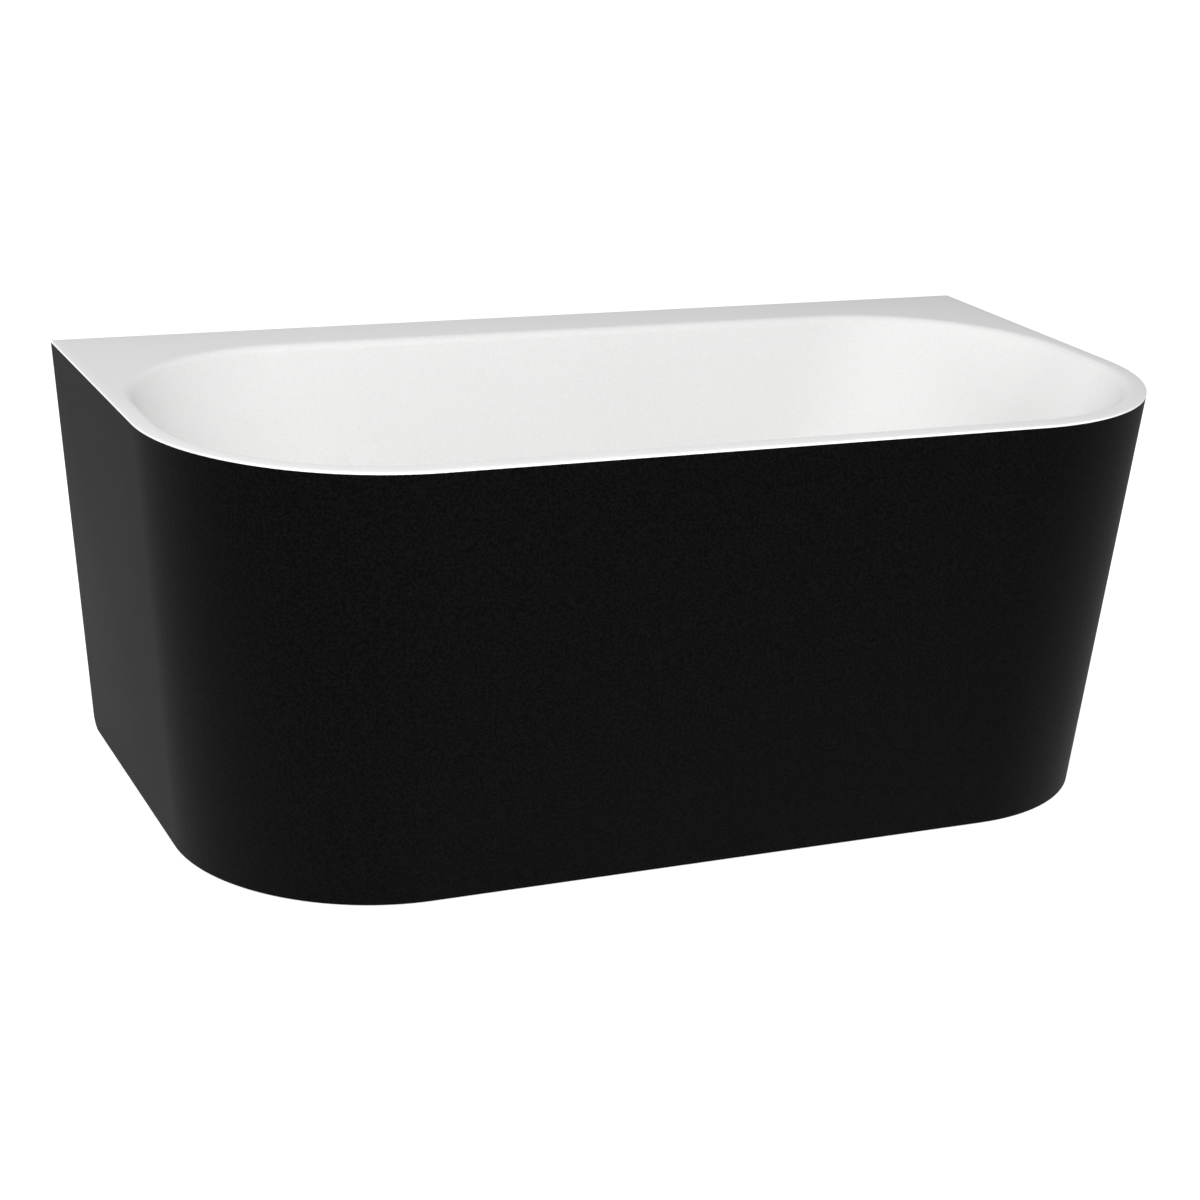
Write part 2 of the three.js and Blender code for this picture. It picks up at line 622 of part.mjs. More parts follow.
// Runs up through both walls of the rail and into the base board
function makeBoardScrew(name, x, y) {
  const top = BOARD_TOP - BOARD_THICKNESS + BOARD_SCREW_BITE;
  const headTop = RAIL_BOTTOM - GAP;
  const profile = [
    [0, headTop - SCREW_HEAD_HEIGHT],
    [BOARD_SCREW_HEAD - EDGE_CHAMFER, headTop - SCREW_HEAD_HEIGHT],
    [BOARD_SCREW_HEAD, headTop],
    [BOARD_SCREW_RADIUS, headTop],
    [BOARD_SCREW_RADIUS, top - BOARD_SCREW_POINT],
    [0, top],
  ];
  const mesh = piece(name, turned(profile, SMALL_ROUND_STEPS), MATERIALS.zinc);
  mesh.position.set(x, y, 0);
  return mesh;
}

// ---- Brackets at the foot of the skirt ----

function bracketScrewY() {
  return BASIN_Y - CROSS_RAIL_LENGTH / 2 + BRACKET_LAP / 2;
}

// An angle that lies on the rail's end and turns down behind the leaning front of the skirt
function makeBracket(name, side) {
  const top = RAIL_TOP + GAP + BRACKET_THICKNESS;
  const bottom = top - BRACKET_DROP;
  const skirtInside = (z) => skirtFront(z) + SKIRT_THICKNESS + 2 * GAP;
  const railEnd = BASIN_Y - CROSS_RAIL_LENGTH / 2;
  const outline = [
    [skirtInside(bottom), bottom],
    [skirtInside(bottom) + BRACKET_THICKNESS, bottom],
    [skirtInside(top) + BRACKET_THICKNESS, RAIL_TOP + GAP],
    [railEnd + BRACKET_LAP, RAIL_TOP + GAP],
    [railEnd + BRACKET_LAP, top],
    [skirtInside(top), top],
  ];
  const shape = new THREE.Shape(outline.map(([y, z]) => new THREE.Vector2(y, z)));
  const angle = extruded(shape, BRACKET_WIDTH).rotateX(Math.PI / 2).rotateZ(Math.PI / 2);
  const hole = rod(BOARD_SCREW_RADIUS + GAP, RAIL_TOP, top + CUT_BEYOND, SMALL_ROUND_STEPS);
  const bracket = combined(angle, [], [hole.translate(BRACKET_WIDTH / 2, bracketScrewY(), 0)]);
  const mesh = piece(name, bracket, MATERIALS.zinc);
  mesh.position.x = side * CROSS_RAIL_X - BRACKET_WIDTH / 2;
  return mesh;
}

function makeBracketScrew(name, side) {
  const seat = RAIL_TOP + GAP + BRACKET_THICKNESS + GAP;
  const profile = [
    [0, seat - BRACKET_SCREW_LENGTH],
    [BOARD_SCREW_RADIUS, seat - BRACKET_SCREW_LENGTH],
    [BOARD_SCREW_RADIUS, seat],
    [BOARD_SCREW_HEAD, seat],
    [BOARD_SCREW_HEAD - EDGE_CHAMFER, seat + SCREW_HEAD_HEIGHT],
    [0, seat + SCREW_HEAD_HEIGHT],
  ];
  const mesh = piece(name, turned(profile, SMALL_ROUND_STEPS), MATERIALS.zinc);
  mesh.position.set(side * CROSS_RAIL_X, bracketScrewY(), 0);
  return mesh;
}

// ---- Levelling feet ----

function makeFootPad(name) {
  const socket = STUD_RADIUS + THREAD_GAP;
  const hub = STUD_RADIUS + PAD_HUB_WALL;
  const profile = [
    [0, 0],
    [PAD_RADIUS - PAD_EDGE_CHAMFER, 0],
    [PAD_RADIUS, PAD_EDGE_CHAMFER],
    [PAD_RADIUS, PAD_EDGE_HEIGHT],
    [PAD_RADIUS - PAD_SHOULDER_INSET, PAD_SHOULDER_HEIGHT],
    [hub, PAD_HUB_START],
    [hub, PAD_HEIGHT],
    [socket, PAD_HEIGHT],
    [socket, PAD_SOCKET_FLOOR],
    [0, PAD_SOCKET_FLOOR],
  ];
  return piece(name, turned(profile), MATERIALS.blackPlastic);
}

// A threaded rod with a hexagon near its foot for a spanner
function makeFootStud(name) {
  const bottom = PAD_SOCKET_FLOOR + GAP;
  const shaft = [
    [0, bottom],
    [STUD_RADIUS - STUD_CHAMFER, bottom],
    [STUD_RADIUS, bottom + STUD_CHAMFER],
    [STUD_RADIUS, STUD_TOP - STUD_CHAMFER],
    [STUD_RADIUS - STUD_CHAMFER, STUD_TOP],
    [0, STUD_TOP],
  ];
  const hexBottom = PAD_HEIGHT + STUD_HEX_LIFT;
  const hex = hexagon(STUD_HEX, hexBottom, hexBottom + STUD_HEX_HEIGHT);
  return piece(name, combined(turned(shaft, SMALL_ROUND_STEPS), [hex], []), MATERIALS.zinc);
}

function makeNut(name, bottom) {
  const top = NUT_HEIGHT + CUT_BEYOND;
  const bore = rod(STUD_RADIUS + THREAD_GAP, -CUT_BEYOND, top, SMALL_ROUND_STEPS);
  const nut = combined(hexagon(NUT_HEX, 0, NUT_HEIGHT), [], [bore]);
  const mesh = piece(name, nut, MATERIALS.zinc);
  mesh.position.z = bottom;
  return mesh;
}

function makeFoot(place, x, y) {
  const foot = new THREE.Group();
  foot.add(makeFootPad(`foot_pad_${place}`));
  foot.add(makeFootStud(`foot_stud_${place}`));
  foot.add(makeNut(`foot_lock_nut_${place}`, RAIL_BOTTOM - GAP - NUT_HEIGHT));
  foot.add(makeNut(`foot_weld_nut_${place}`, RAIL_TOP + GAP));
  foot.position.set(x, y, 0);
  return foot;
}

// ---- Waste, about the axis of the hole in the floor ----

const FLANGE_UNDERSIDE = RECESS_Z + GAP + GASKET_THICKNESS + GAP;
const FLANGE_TOP = FLANGE_UNDERSIDE + FLANGE_THICKNESS;
const NECK_BOTTOM = FLANGE_UNDERSIDE - NECK_LENGTH;
const BODY_SEAL_TOP = RECESS_Z - SHELL - GAP;
const BODY_TOP = BODY_SEAL_TOP - BODY_SEAL_THICKNESS - GAP;
const BODY_BOTTOM = BODY_TOP - BODY_LENGTH;
const SPIGOT_HEIGHT = BODY_BOTTOM + SPIGOT_LIFT;
const PLUG_UNDERSIDE = FLANGE_TOP + PLUG_SHUT_GAP + PLUG_TRAVEL;
const CARTRIDGE_TOP = FLANGE_TOP - PLUG_SEAL_THICKNESS - CARTRIDGE_DROP;
const CARTRIDGE_BOTTOM = CARTRIDGE_TOP - CARTRIDGE_HEIGHT;

function makeWasteFlange() {
  const profile = [
    [FLANGE_MOUTH_RADIUS, FLANGE_TOP],
    [NECK_BORE, FLANGE_UNDERSIDE],
    [NECK_BORE, NECK_BOTTOM],
    [NECK_RADIUS, NECK_BOTTOM],
    [NECK_RADIUS, FLANGE_UNDERSIDE],
    [FLANGE_RADIUS, FLANGE_UNDERSIDE],
    [FLANGE_RADIUS, FLANGE_TOP - EDGE_CHAMFER],
    [FLANGE_RADIUS - EDGE_CHAMFER, FLANGE_TOP],
  ];
  return piece('waste_flange', turnedRing(profile, WASTE_STEPS), MATERIALS.chrome);
}

function makeWasteGasket() {
  const bottom = RECESS_Z + GAP;
  const bore = NECK_RADIUS + GAP;
  const radius = FLANGE_RADIUS - EDGE_CHAMFER;
  const gasket = washer(bore, radius, bottom, bottom + GASKET_THICKNESS, WASTE_STEPS);
  return piece('waste_gasket', gasket, MATERIALS.rubber);
}

function makeWasteSeal() {
  const bore = NECK_RADIUS + GAP;
  const bottom = BODY_SEAL_TOP - BODY_SEAL_THICKNESS;
  const seal = washer(bore, BODY_FLANGE_RADIUS, bottom, BODY_SEAL_TOP, WASTE_STEPS);
  return piece('waste_body_seal', seal, MATERIALS.rubber);
}

// A chamber that screws up onto the flange's neck, with a spigot for the overflow hose
function makeWasteBody() {
  const neckRoom = NECK_RADIUS + THREAD_GAP;
  const neckFloor = NECK_BOTTOM - GAP;
  const profile = [
    [neckRoom, BODY_TOP],
    [neckRoom, neckFloor],
    [NECK_BORE, neckFloor],
    [NECK_BORE, BODY_BOTTOM + BODY_FLOOR_FALL],
    [OUTLET_BORE, BODY_BOTTOM],
    [OUTLET_BORE, BODY_BOTTOM - OUTLET_LENGTH],
    [OUTLET_RADIUS, BODY_BOTTOM - OUTLET_LENGTH],
    [OUTLET_RADIUS, BODY_BOTTOM],
    [BODY_RADIUS, BODY_BOTTOM],
    [BODY_RADIUS, BODY_TOP - BODY_FLANGE_THICKNESS],
    [BODY_FLANGE_RADIUS, BODY_TOP - BODY_FLANGE_THICKNESS],
    [BODY_FLANGE_RADIUS, BODY_TOP],
  ];
  const wall = (NECK_BORE + BODY_RADIUS) / 2;
  const forward = (radius, from, to) => {
    return rod(radius, from, to).rotateX(Math.PI / 2).translate(0, 0, SPIGOT_HEIGHT);
  };
  const spigot = forward(SPIGOT_RADIUS, wall, BODY_RADIUS + SPIGOT_LENGTH);
  const bore = forward(SPIGOT_BORE, NECK_BORE / 2, BODY_RADIUS + SPIGOT_LENGTH + CUT_BEYOND);
  const body = combined(turnedRing(profile, WASTE_STEPS), [spigot], [bore]);
  return piece('waste_body', body, MATERIALS.blackPlastic);
}

// The cup that the plug's stem clicks down into, carried by three arms inside the neck
function makeCartridge() {
  const profile = [
    [STEM_RADIUS + THREAD_GAP, CARTRIDGE_BOTTOM],
    [CARTRIDGE_RADIUS, CARTRIDGE_BOTTOM],
    [CARTRIDGE_RADIUS, CARTRIDGE_TOP],
    [CARTRIDGE_BORE, CARTRIDGE_TOP],
    [CARTRIDGE_BORE, CARTRIDGE_BOTTOM + CARTRIDGE_FLOOR],
    [STEM_RADIUS + THREAD_GAP, CARTRIDGE_BOTTOM + CARTRIDGE_FLOOR],
  ];
  const reach = NECK_BORE - 2 * GAP;
  const start = (CARTRIDGE_BORE + CARTRIDGE_RADIUS) / 2;
  const arms = [0, 1, 2].map((arm) => {
    const bar = new THREE.BoxGeometry(reach - start, CARTRIDGE_ARM, CARTRIDGE_ARM);
    bar.translate((reach + start) / 2, 0, CARTRIDGE_BOTTOM + CARTRIDGE_ARM / 2);
    return bar.rotateZ((arm * 2 * Math.PI) / 3);
  });
  return piece('waste_cartridge', combined(turnedRing(profile), arms, []), MATERIALS.whitePlastic);
}

const COLLAR_TOP = CARTRIDGE_TOP - GAP;
const COLLAR_BOTTOM = COLLAR_TOP - STEM_COLLAR_HEIGHT;

function makeStem() {
  const bottom = CARTRIDGE_BOTTOM - STEM_TAIL;
  const profile = [
    [0, bottom],
    [STEM_RADIUS, bottom],
    [STEM_RADIUS, COLLAR_BOTTOM],
    [STEM_COLLAR_RADIUS, COLLAR_BOTTOM],
    [STEM_COLLAR_RADIUS, COLLAR_TOP],
    [STEM_RADIUS, COLLAR_TOP],
    [STEM_RADIUS, PLUG_UNDERSIDE - GAP],
    [0, PLUG_UNDERSIDE - GAP],
  ];
  return piece('waste_plug_stem', turned(profile, SMALL_ROUND_STEPS), MATERIALS.zinc);
}

class Helix extends THREE.Curve {
  constructor(radius, bottom, top, turns) {
    super();
    Object.assign(this, { radius, bottom, top, turns });
  }

  getPoint(t, target = new THREE.Vector3()) {
    const angle = 2 * Math.PI * this.turns * t;
    const z = THREE.MathUtils.lerp(this.bottom, this.top, t);
    return target.set(this.radius * Math.cos(angle), this.radius * Math.sin(angle), z);
  }
}

function circle(radius) {
  return new THREE.Shape().absarc(0, 0, radius, 0, 2 * Math.PI);
}

function makeSpring() {
  const clear = SPRING_WIRE_RADIUS + GAP;
  const bottom = CARTRIDGE_BOTTOM + CARTRIDGE_FLOOR + clear;
  const path = new Helix(SPRING_RADIUS, bottom, COLLAR_BOTTOM - clear, SPRING_TURNS);
  const options = { extrudePath: path, steps: SPRING_TURNS * 10, curveSegments: 3 };
  const wire = new THREE.ExtrudeGeometry(circle(SPRING_WIRE_RADIUS), options);
  return piece('waste_plug_spring', wire, MATERIALS.zinc);
}

function makePlug() {
  const top = PLUG_UNDERSIDE + PLUG_THICKNESS;
  const profile = [
    [0, PLUG_UNDERSIDE],
    [PLUG_RADIUS - EDGE_CHAMFER, PLUG_UNDERSIDE],
    [PLUG_RADIUS, PLUG_UNDERSIDE + EDGE_CHAMFER],
    [PLUG_RADIUS, PLUG_UNDERSIDE + PLUG_EDGE_HEIGHT],
    [PLUG_RADIUS - PLUG_DOME_INSET, top - PLUG_DOME_RISE],
    [0, top],
  ];
  return piece('waste_plug', turned(profile, WASTE_STEPS), MATERIALS.chrome);
}

function makePlugSeal() {
  const top = PLUG_UNDERSIDE - GAP;
  const bottom = top - PLUG_SEAL_THICKNESS;
  const profile = [
    [PLUG_SEAL_BORE, bottom],
    [NECK_BORE, bottom],
    [PLUG_SEAL_RADIUS, top],
    [PLUG_SEAL_BORE, top],
  ];
  return piece('waste_plug_seal', turnedRing(profile, WASTE_STEPS), MATERIALS.rubber);
}

function makeWaste() {
  const waste = new THREE.Group();
  waste.add(makeWasteFlange(), makeWasteGasket(), makeWasteSeal(), makeWasteBody());
  waste.add(makeCartridge(), makeStem(), makeSpring(), makePlug(), makePlugSeal());
  waste.position.y = BASIN_Y;
  return waste;
}

// ---- Overflow, in the frame of the front wall: Z points into the bath and Y down the wall ----

const SEAL_FRONT = -BACKING_OUTSIDE - GAP;
const ELBOW_FRONT = SEAL_FRONT - OVERFLOW_SEAL_THICKNESS - GAP;
const SPIGOT_AXIS = -BACKING_OUTSIDE - HOSE_NUT_ROOM - HOSE_NUT_RADIUS;
const ELBOW_BACK = SPIGOT_AXIS - SPIGOT_BORE - ELBOW_WALL;

const overflow = new THREE.Group();
const overflowInset = insetAt(wallSection(SIDE_LEAN, BASIN_DEPTH), OVERFLOW_DROP, 0);
overflow.position.set(0, OPENING_FRONT + overflowInset, RIM_HEIGHT - OVERFLOW_DROP);
overflow.rotation.x = SIDE_LEAN - Math.PI / 2;
overflow.updateMatrix();

// The screwed ring inside the bath, with a bar across its bore for the cover's screw
function makeOverflowRing() {
  const top = OVERFLOW_RING_LIFT;
  const profile = [
    [OVERFLOW_NECK_BORE, top],
    [OVERFLOW_NECK_BORE, -OVERFLOW_NECK_LENGTH],
    [OVERFLOW_NECK_RADIUS, -OVERFLOW_NECK_LENGTH],
    [OVERFLOW_NECK_RADIUS, GAP],
    [OVERFLOW_RING_RADIUS, GAP],
    [OVERFLOW_RING_RADIUS, OVERFLOW_RING_EDGE],
    [OVERFLOW_RING_RADIUS - OVERFLOW_RING_BEVEL, top],
  ];
  const span = OVERFLOW_NECK_BORE + OVERFLOW_NECK_RADIUS;
  const bar = new THREE.BoxGeometry(span, OVERFLOW_BAR_WIDTH, OVERFLOW_BAR_THICKNESS);
  bar.translate(0, 0, -OVERFLOW_BAR_THICKNESS / 2);
  const holeBottom = -OVERFLOW_BAR_THICKNESS - CUT_BEYOND;
  const hole = rod(OVERFLOW_SCREW_RADIUS + GAP, holeBottom, CUT_BEYOND, SMALL_ROUND_STEPS);
  const body = combined(turnedRing(profile), [bar], [hole]);
  return piece('overflow_ring', body, MATERIALS.whitePlastic);
}

function makeOverflowCover() {
  const bore = OVERFLOW_SCREW_RADIUS + GAP;
  const top = OVERFLOW_COVER_LIFT + OVERFLOW_COVER_THICKNESS;
  const profile = [
    [bore, GAP],
    [OVERFLOW_COVER_POST, GAP],
    [OVERFLOW_COVER_POST, OVERFLOW_COVER_LIFT],
    [OVERFLOW_COVER_RADIUS - EDGE_CHAMFER, OVERFLOW_COVER_LIFT],
    [OVERFLOW_COVER_RADIUS, OVERFLOW_COVER_LIFT + EDGE_CHAMFER],
    [OVERFLOW_COVER_RADIUS, top - EDGE_CHAMFER],
    [OVERFLOW_COVER_RADIUS - EDGE_CHAMFER, top],
    [bore, top],
  ];
  return piece('overflow_cover', turnedRing(profile, WASTE_STEPS), MATERIALS.chrome);
}

function makeOverflowScrew() {
  const seat = OVERFLOW_COVER_LIFT + OVERFLOW_COVER_THICKNESS + GAP;
  const top = seat + OVERFLOW_SCREW_HEAD_HEIGHT;
  const profile = [
    [0, -OVERFLOW_SCREW_BITE],
    [OVERFLOW_SCREW_RADIUS, -OVERFLOW_SCREW_BITE],
    [OVERFLOW_SCREW_RADIUS, seat],
    [OVERFLOW_SCREW_HEAD, seat],
    [OVERFLOW_SCREW_HEAD - EDGE_CHAMFER, top],
    [0, top],
  ];
  return piece('overflow_screw', turned(profile, SMALL_ROUND_STEPS), MATERIALS.chrome);
}

function makeOverflowSeal() {
  const bore = OVERFLOW_NECK_RADIUS + GAP;
  const seal = washer(bore, ELBOW_FLANGE_RADIUS, SEAL_FRONT - OVERFLOW_SEAL_THICKNESS, SEAL_FRONT);
  return piece('overflow_seal', seal, MATERIALS.rubber);
}

function makeOverflowElbow() {
  const room = OVERFLOW_NECK_RADIUS + THREAD_GAP;
  const profile = [
    [0, ELBOW_BACK],
    [ELBOW_RADIUS, ELBOW_BACK],
    [ELBOW_RADIUS, ELBOW_FRONT - ELBOW_FLANGE_THICKNESS - EDGE_CHAMFER],
    [ELBOW_FLANGE_RADIUS, ELBOW_FRONT - ELBOW_FLANGE_THICKNESS],
    [ELBOW_FLANGE_RADIUS, ELBOW_FRONT],
    [room, ELBOW_FRONT],
    [room, ELBOW_BACK + ELBOW_WALL],
    [0, ELBOW_BACK + ELBOW_WALL],
  ];
  const along = (radius, from, to) => {
    return rod(radius, from, to).rotateX(-Math.PI / 2).translate(0, 0, SPIGOT_AXIS);
  };
  const spigotEnd = ELBOW_RADIUS + SPIGOT_LENGTH;
  const spigot = along(SPIGOT_RADIUS, (room + ELBOW_RADIUS) / 2, spigotEnd);
  const bore = along(SPIGOT_BORE, room / 2, spigotEnd + CUT_BEYOND);
  const elbow = combined(turned(profile), [spigot], [bore]);
  return piece('overflow_elbow', elbow, MATERIALS.blackPlastic);
}

function hoseNut(name) {
  const nut = washer(HOSE_RADIUS + GAP, HOSE_NUT_RADIUS, 0, HOSE_NUT_LENGTH);
  return piece(name, nut, MATERIALS.blackPlastic);
}

function makeUpperHoseNut() {
  const nut = hoseNut('hose_nut_upper');
  nut.rotation.x = -Math.PI / 2;
  nut.position.set(0, ELBOW_RADIUS + SPIGOT_LENGTH - HOSE_LAP, SPIGOT_AXIS);
  return nut;
}

function makeLowerHoseNut() {
  const nut = hoseNut('hose_nut_lower');
  nut.rotation.x = Math.PI / 2;
  nut.position.set(0, BASIN_Y - BODY_RADIUS - SPIGOT_LENGTH + HOSE_LAP, SPIGOT_HEIGHT);
  return nut;
}

// The hose runs down behind the skirt and back under the frame to the waste
function makeHose() {
  const upper = (distance) => {
    return new THREE.Vector3(0, distance, SPIGOT_AXIS).applyMatrix4(overflow.matrix);
  };
  const lower = (distance) => new THREE.Vector3(0, BASIN_Y - distance, SPIGOT_HEIGHT);
  const upperEnd = ELBOW_RADIUS + SPIGOT_LENGTH;
  const lowerEnd = BODY_RADIUS + SPIGOT_LENGTH;
  const height = RIM_HEIGHT - OVERFLOW_DROP - SPIGOT_HEIGHT;
  const bendStart = upper(upperEnd + HOSE_STRAIGHT);
  const bendEnd = lower(lowerEnd + HOSE_STRAIGHT);
  const wayForward = bendEnd.y - bendStart.y;
  const route = new THREE.CurvePath();
  route.add(new THREE.LineCurve3(upper(upperEnd - HOSE_LAP), bendStart));
  route.add(new THREE.CubicBezierCurve3(
    bendStart,
    upper(upperEnd + HOSE_STRAIGHT + HOSE_UPPER_PULL * height),
    lower(lowerEnd + HOSE_STRAIGHT + HOSE_LOWER_PULL * wayForward),
    bendEnd,
  ));
  route.add(new THREE.LineCurve3(bendEnd, lower(lowerEnd - HOSE_LAP)));
  const section = circle(HOSE_RADIUS);
  section.holes.push(circle(HOSE_BORE));
  const options = { extrudePath: route, steps: HOSE_STEPS, curveSegments: HOSE_SIDES / 2 };
  return piece('overflow_hose', new THREE.ExtrudeGeometry(section, options), MATERIALS.blackPlastic);
}

function makeOverflow() {
  overflow.add(makeOverflowRing(), makeOverflowCover(), makeOverflowScrew());
  overflow.add(makeOverflowSeal(), makeOverflowElbow(), makeUpperHoseNut());
  return overflow;
}

// ---- The whole bathtub ----

const bathtub = new THREE.Group();
bathtub.add(makeBathShell(), makeBacking(), makeSkirt(), makeRimBatten());

const screwPlaces = [];
for (const [sideName, side] of [['left', -1], ['right', 1]]) {
  const x = side * CROSS_RAIL_X;
  bathtub.add(makeCrossRail(`frame_cross_rail_${sideName}`, side));
  bathtub.add(makeBracket(`skirt_bracket_${sideName}`, side));
  bathtub.add(makeBracketScrew(`skirt_bracket_screw_${sideName}`, side));
  for (const [endName, end] of [['front', -1], ['rear', 1]]) {
    const place = `${endName}_${sideName}`;
    const screwY = BASIN_Y + end * BOARD_SCREW_OFFSET;
    bathtub.add(makeFoot(place, x, BASIN_Y + end * FOOT_OFFSET));
    bathtub.add(makeEndCap(`rail_end_cap_${place}`, side, end));
    bathtub.add(makeBoardScrew(`board_screw_${place}`, x, screwY));
    screwPlaces.push([x, screwY]);
  }
}
bathtub.add(makeLongRail('frame_long_rail_front', -1));
bathtub.add(makeLongRail('frame_long_rail_rear', 1));
bathtub.add(makeBaseBoard(screwPlaces));
bathtub.add(makeWaste(), makeOverflow(), makeHose(), makeLowerHoseNut());

export default bathtub;
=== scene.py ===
"""A back-to-wall bathtub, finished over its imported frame: the white bath, the matt black skirt, the
levelling feet, the waste and the overflow get fine meshes, and every part gets its own material."""

import json
from math import atan2, cos, pi, radians, sin, sqrt, tan

import bmesh
import bpy
from bpy.props import FloatProperty, FloatVectorProperty, IntProperty, PointerProperty
from mathutils import Matrix, Vector
from mathutils.geometry import interpolate_bezier


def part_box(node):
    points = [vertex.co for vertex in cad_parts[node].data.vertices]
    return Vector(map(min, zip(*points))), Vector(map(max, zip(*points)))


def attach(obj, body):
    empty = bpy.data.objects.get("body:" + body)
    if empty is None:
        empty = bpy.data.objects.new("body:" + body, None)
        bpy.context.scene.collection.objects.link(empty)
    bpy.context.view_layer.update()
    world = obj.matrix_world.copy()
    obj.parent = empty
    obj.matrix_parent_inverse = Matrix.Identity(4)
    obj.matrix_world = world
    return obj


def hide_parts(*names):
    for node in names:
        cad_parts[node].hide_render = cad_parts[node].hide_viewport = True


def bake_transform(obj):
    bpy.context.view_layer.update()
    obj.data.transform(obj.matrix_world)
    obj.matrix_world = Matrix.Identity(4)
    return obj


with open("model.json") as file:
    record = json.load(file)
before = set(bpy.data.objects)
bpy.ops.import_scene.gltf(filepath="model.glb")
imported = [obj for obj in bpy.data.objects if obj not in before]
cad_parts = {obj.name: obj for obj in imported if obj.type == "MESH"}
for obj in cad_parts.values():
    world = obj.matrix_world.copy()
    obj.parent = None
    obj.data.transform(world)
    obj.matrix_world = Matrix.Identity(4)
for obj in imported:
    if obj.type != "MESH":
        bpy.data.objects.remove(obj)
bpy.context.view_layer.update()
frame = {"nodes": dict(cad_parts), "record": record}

bl_info = {
    "name": "Back-to-wall Bathtub",
    "version": (1, 0, 0),
    "blender": (4, 5, 0),
    "location": "3D View > Sidebar > Bathtub",
    "description": "Makes a back-to-wall bathtub piece by piece",
    "category": "Add Mesh",
}

MM = 0.001
PLACES = ("front_left", "front_right", "rear_left", "rear_right")
BATH_LOW, BATH_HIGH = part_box("bath_shell")
SKIRT_LOW, SKIRT_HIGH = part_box("skirt")
BASIN_Y = sum(corner.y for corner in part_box("waste_plug")) / 2
RIM_Z = BATH_HIGH.z

# Sizes of the bath that the frame's boxes don't give
FRONT_CORNER_RADIUS = 315 * MM
REAR_CORNER_RADIUS = 3 * MM
SKIRT_BASE_RADIUS = 275 * MM
SKIRT_END_TAPER = 54 * MM
SKIRT_FRONT_TAPER = 45 * MM
SKIRT_RETURN = 40 * MM
SKIRT_HEEL_RADIUS = 22 * MM
SHELL = 4 * MM
BACKING_INSIDE = 4.5 * MM
BACKING_OUTSIDE = 8.5 * MM
BACKING_START = 24 * MM
END_RIM = 19 * MM
FRONT_RIM = 24 * MM
REAR_RIM = 95 * MM
OPENING_RADIUS = 288 * MM
CORNER_TIGHTENING = 0.8
BASIN_DEPTH = 430 * MM
SIDE_LEAN = radians(8)
END_LEAN = radians(24)
FOOT_RADIUS = 80 * MM
FLOOR_FALL = 5 * MM
DISH_RADIUS = 60 * MM
RECESS_RADIUS = 38 * MM
RECESS_DEPTH = 3 * MM
WASTE_HOLE_RADIUS = 27 * MM
BACKING_HOLE_RADIUS = 50 * MM
OVERFLOW_DROP = 90 * MM
OVERFLOW_HOLE_RADIUS = 18 * MM
THREAD_PITCH = 1.75 * MM

LIP_RADIUS = 14 * MM
RECESS_ROUNDING = 0.8 * MM
CROWN_WIDTH = 11 * MM  # of the rim's outer edge, where it falls away
SKIRT_THICKNESS = 5 * MM
STUD_RADIUS = 6 * MM
THREAD_DEPTH = 0.8 * MM
STUD_HEX = 17 * MM
STUD_HEX_LIFT = 2 * MM
STUD_HEX_HEIGHT = 8 * MM
PAD_HEIGHT = 14 * MM
NUT_BORE = 6.4 * MM
NUT_CHAMFER = 1.2 * MM
SPRING_RADIUS = 6 * MM
SPRING_WIRE_RADIUS = 0.6 * MM
SPRING_TURNS = 4
WASTE_SPIGOT_Z = 90 * MM
HOSE_AXIS_DEPTH = -23.1 * MM
HOSE_RADIUS = 12 * MM
HOSE_GROOVE = 1.3 * MM
HOSE_WALL = 1 * MM
HOSE_START = 36 * MM
HOSE_BEND_START = 71 * MM
HOSE_BEND_END = 77 * MM
HOSE_END = 42 * MM
HOSE_UPPER_PULL = 0.55
HOSE_LOWER_PULL = 1.07
HOSE_STEP = 1.2 * MM
HOSE_PLAIN_END = 24 * MM
HOLE_CUT_LENGTH = 40 * MM
KEPT_EDGE_ROUNDING = 0.5 * MM

# Sizes of the turned pieces, in millimetres as turned() takes them
PAD_RADIUS = 25
PAD_EDGE_HEIGHT = 4
PAD_SHOULDER = (18, 8)
PAD_HUB_RADIUS = 11
PAD_HUB_FOOT = 9.5
PAD_SOCKET_RADIUS = 6.4
PAD_SOCKET_FLOOR = 5
FLANGE_MOUTH_RADIUS = 28
FLANGE_RADIUS = 35.5
FLANGE_THICKNESS = 2.5
NECK_BORE = 22.5
NECK_RADIUS = 25.7
NECK_LENGTH = 40
WASTE_SEAL_BORE = 26
GASKET_RADIUS = 34.5
GASKET_THICKNESS = 1.5
LOWER_SEAL_RADIUS = 36
LOWER_SEAL_THICKNESS = 3
PLUG_RADIUS = 31
PLUG_THICKNESS = 4
PLUG_DOME = 2.4
PLUG_SEAL_BORE = 16
PLUG_SEAL_RADIUS = 27
PLUG_SEAL_THICKNESS = 2
OVERFLOW_GAP = 0.3
COVER_RADIUS = 35
COVER_BORE = 2.3
COVER_POST_RADIUS = 5
COVER_BACK = 7.5
COVER_FRONT = 10.5
SCREW_RADIUS = 2
SCREW_END = -6
SCREW_SEAT = 10.8
SCREW_HEAD_RADIUS = 4.5
SCREW_HEAD_TOP = 12.8
SCREW_RECESS_RADIUS = 1.7
SCREW_RECESS_FLOOR = 12
RING_BORE = 14
RING_NECK_RADIUS = 17
RING_NECK_END = -17
RING_RADIUS = 30
RING_FRONT = 3
BACK_SEAL_BORE = 17.3
BACK_SEAL_RADIUS = 27
BACK_SEAL_FRONT = -8.8
BACK_SEAL_THICKNESS = 2

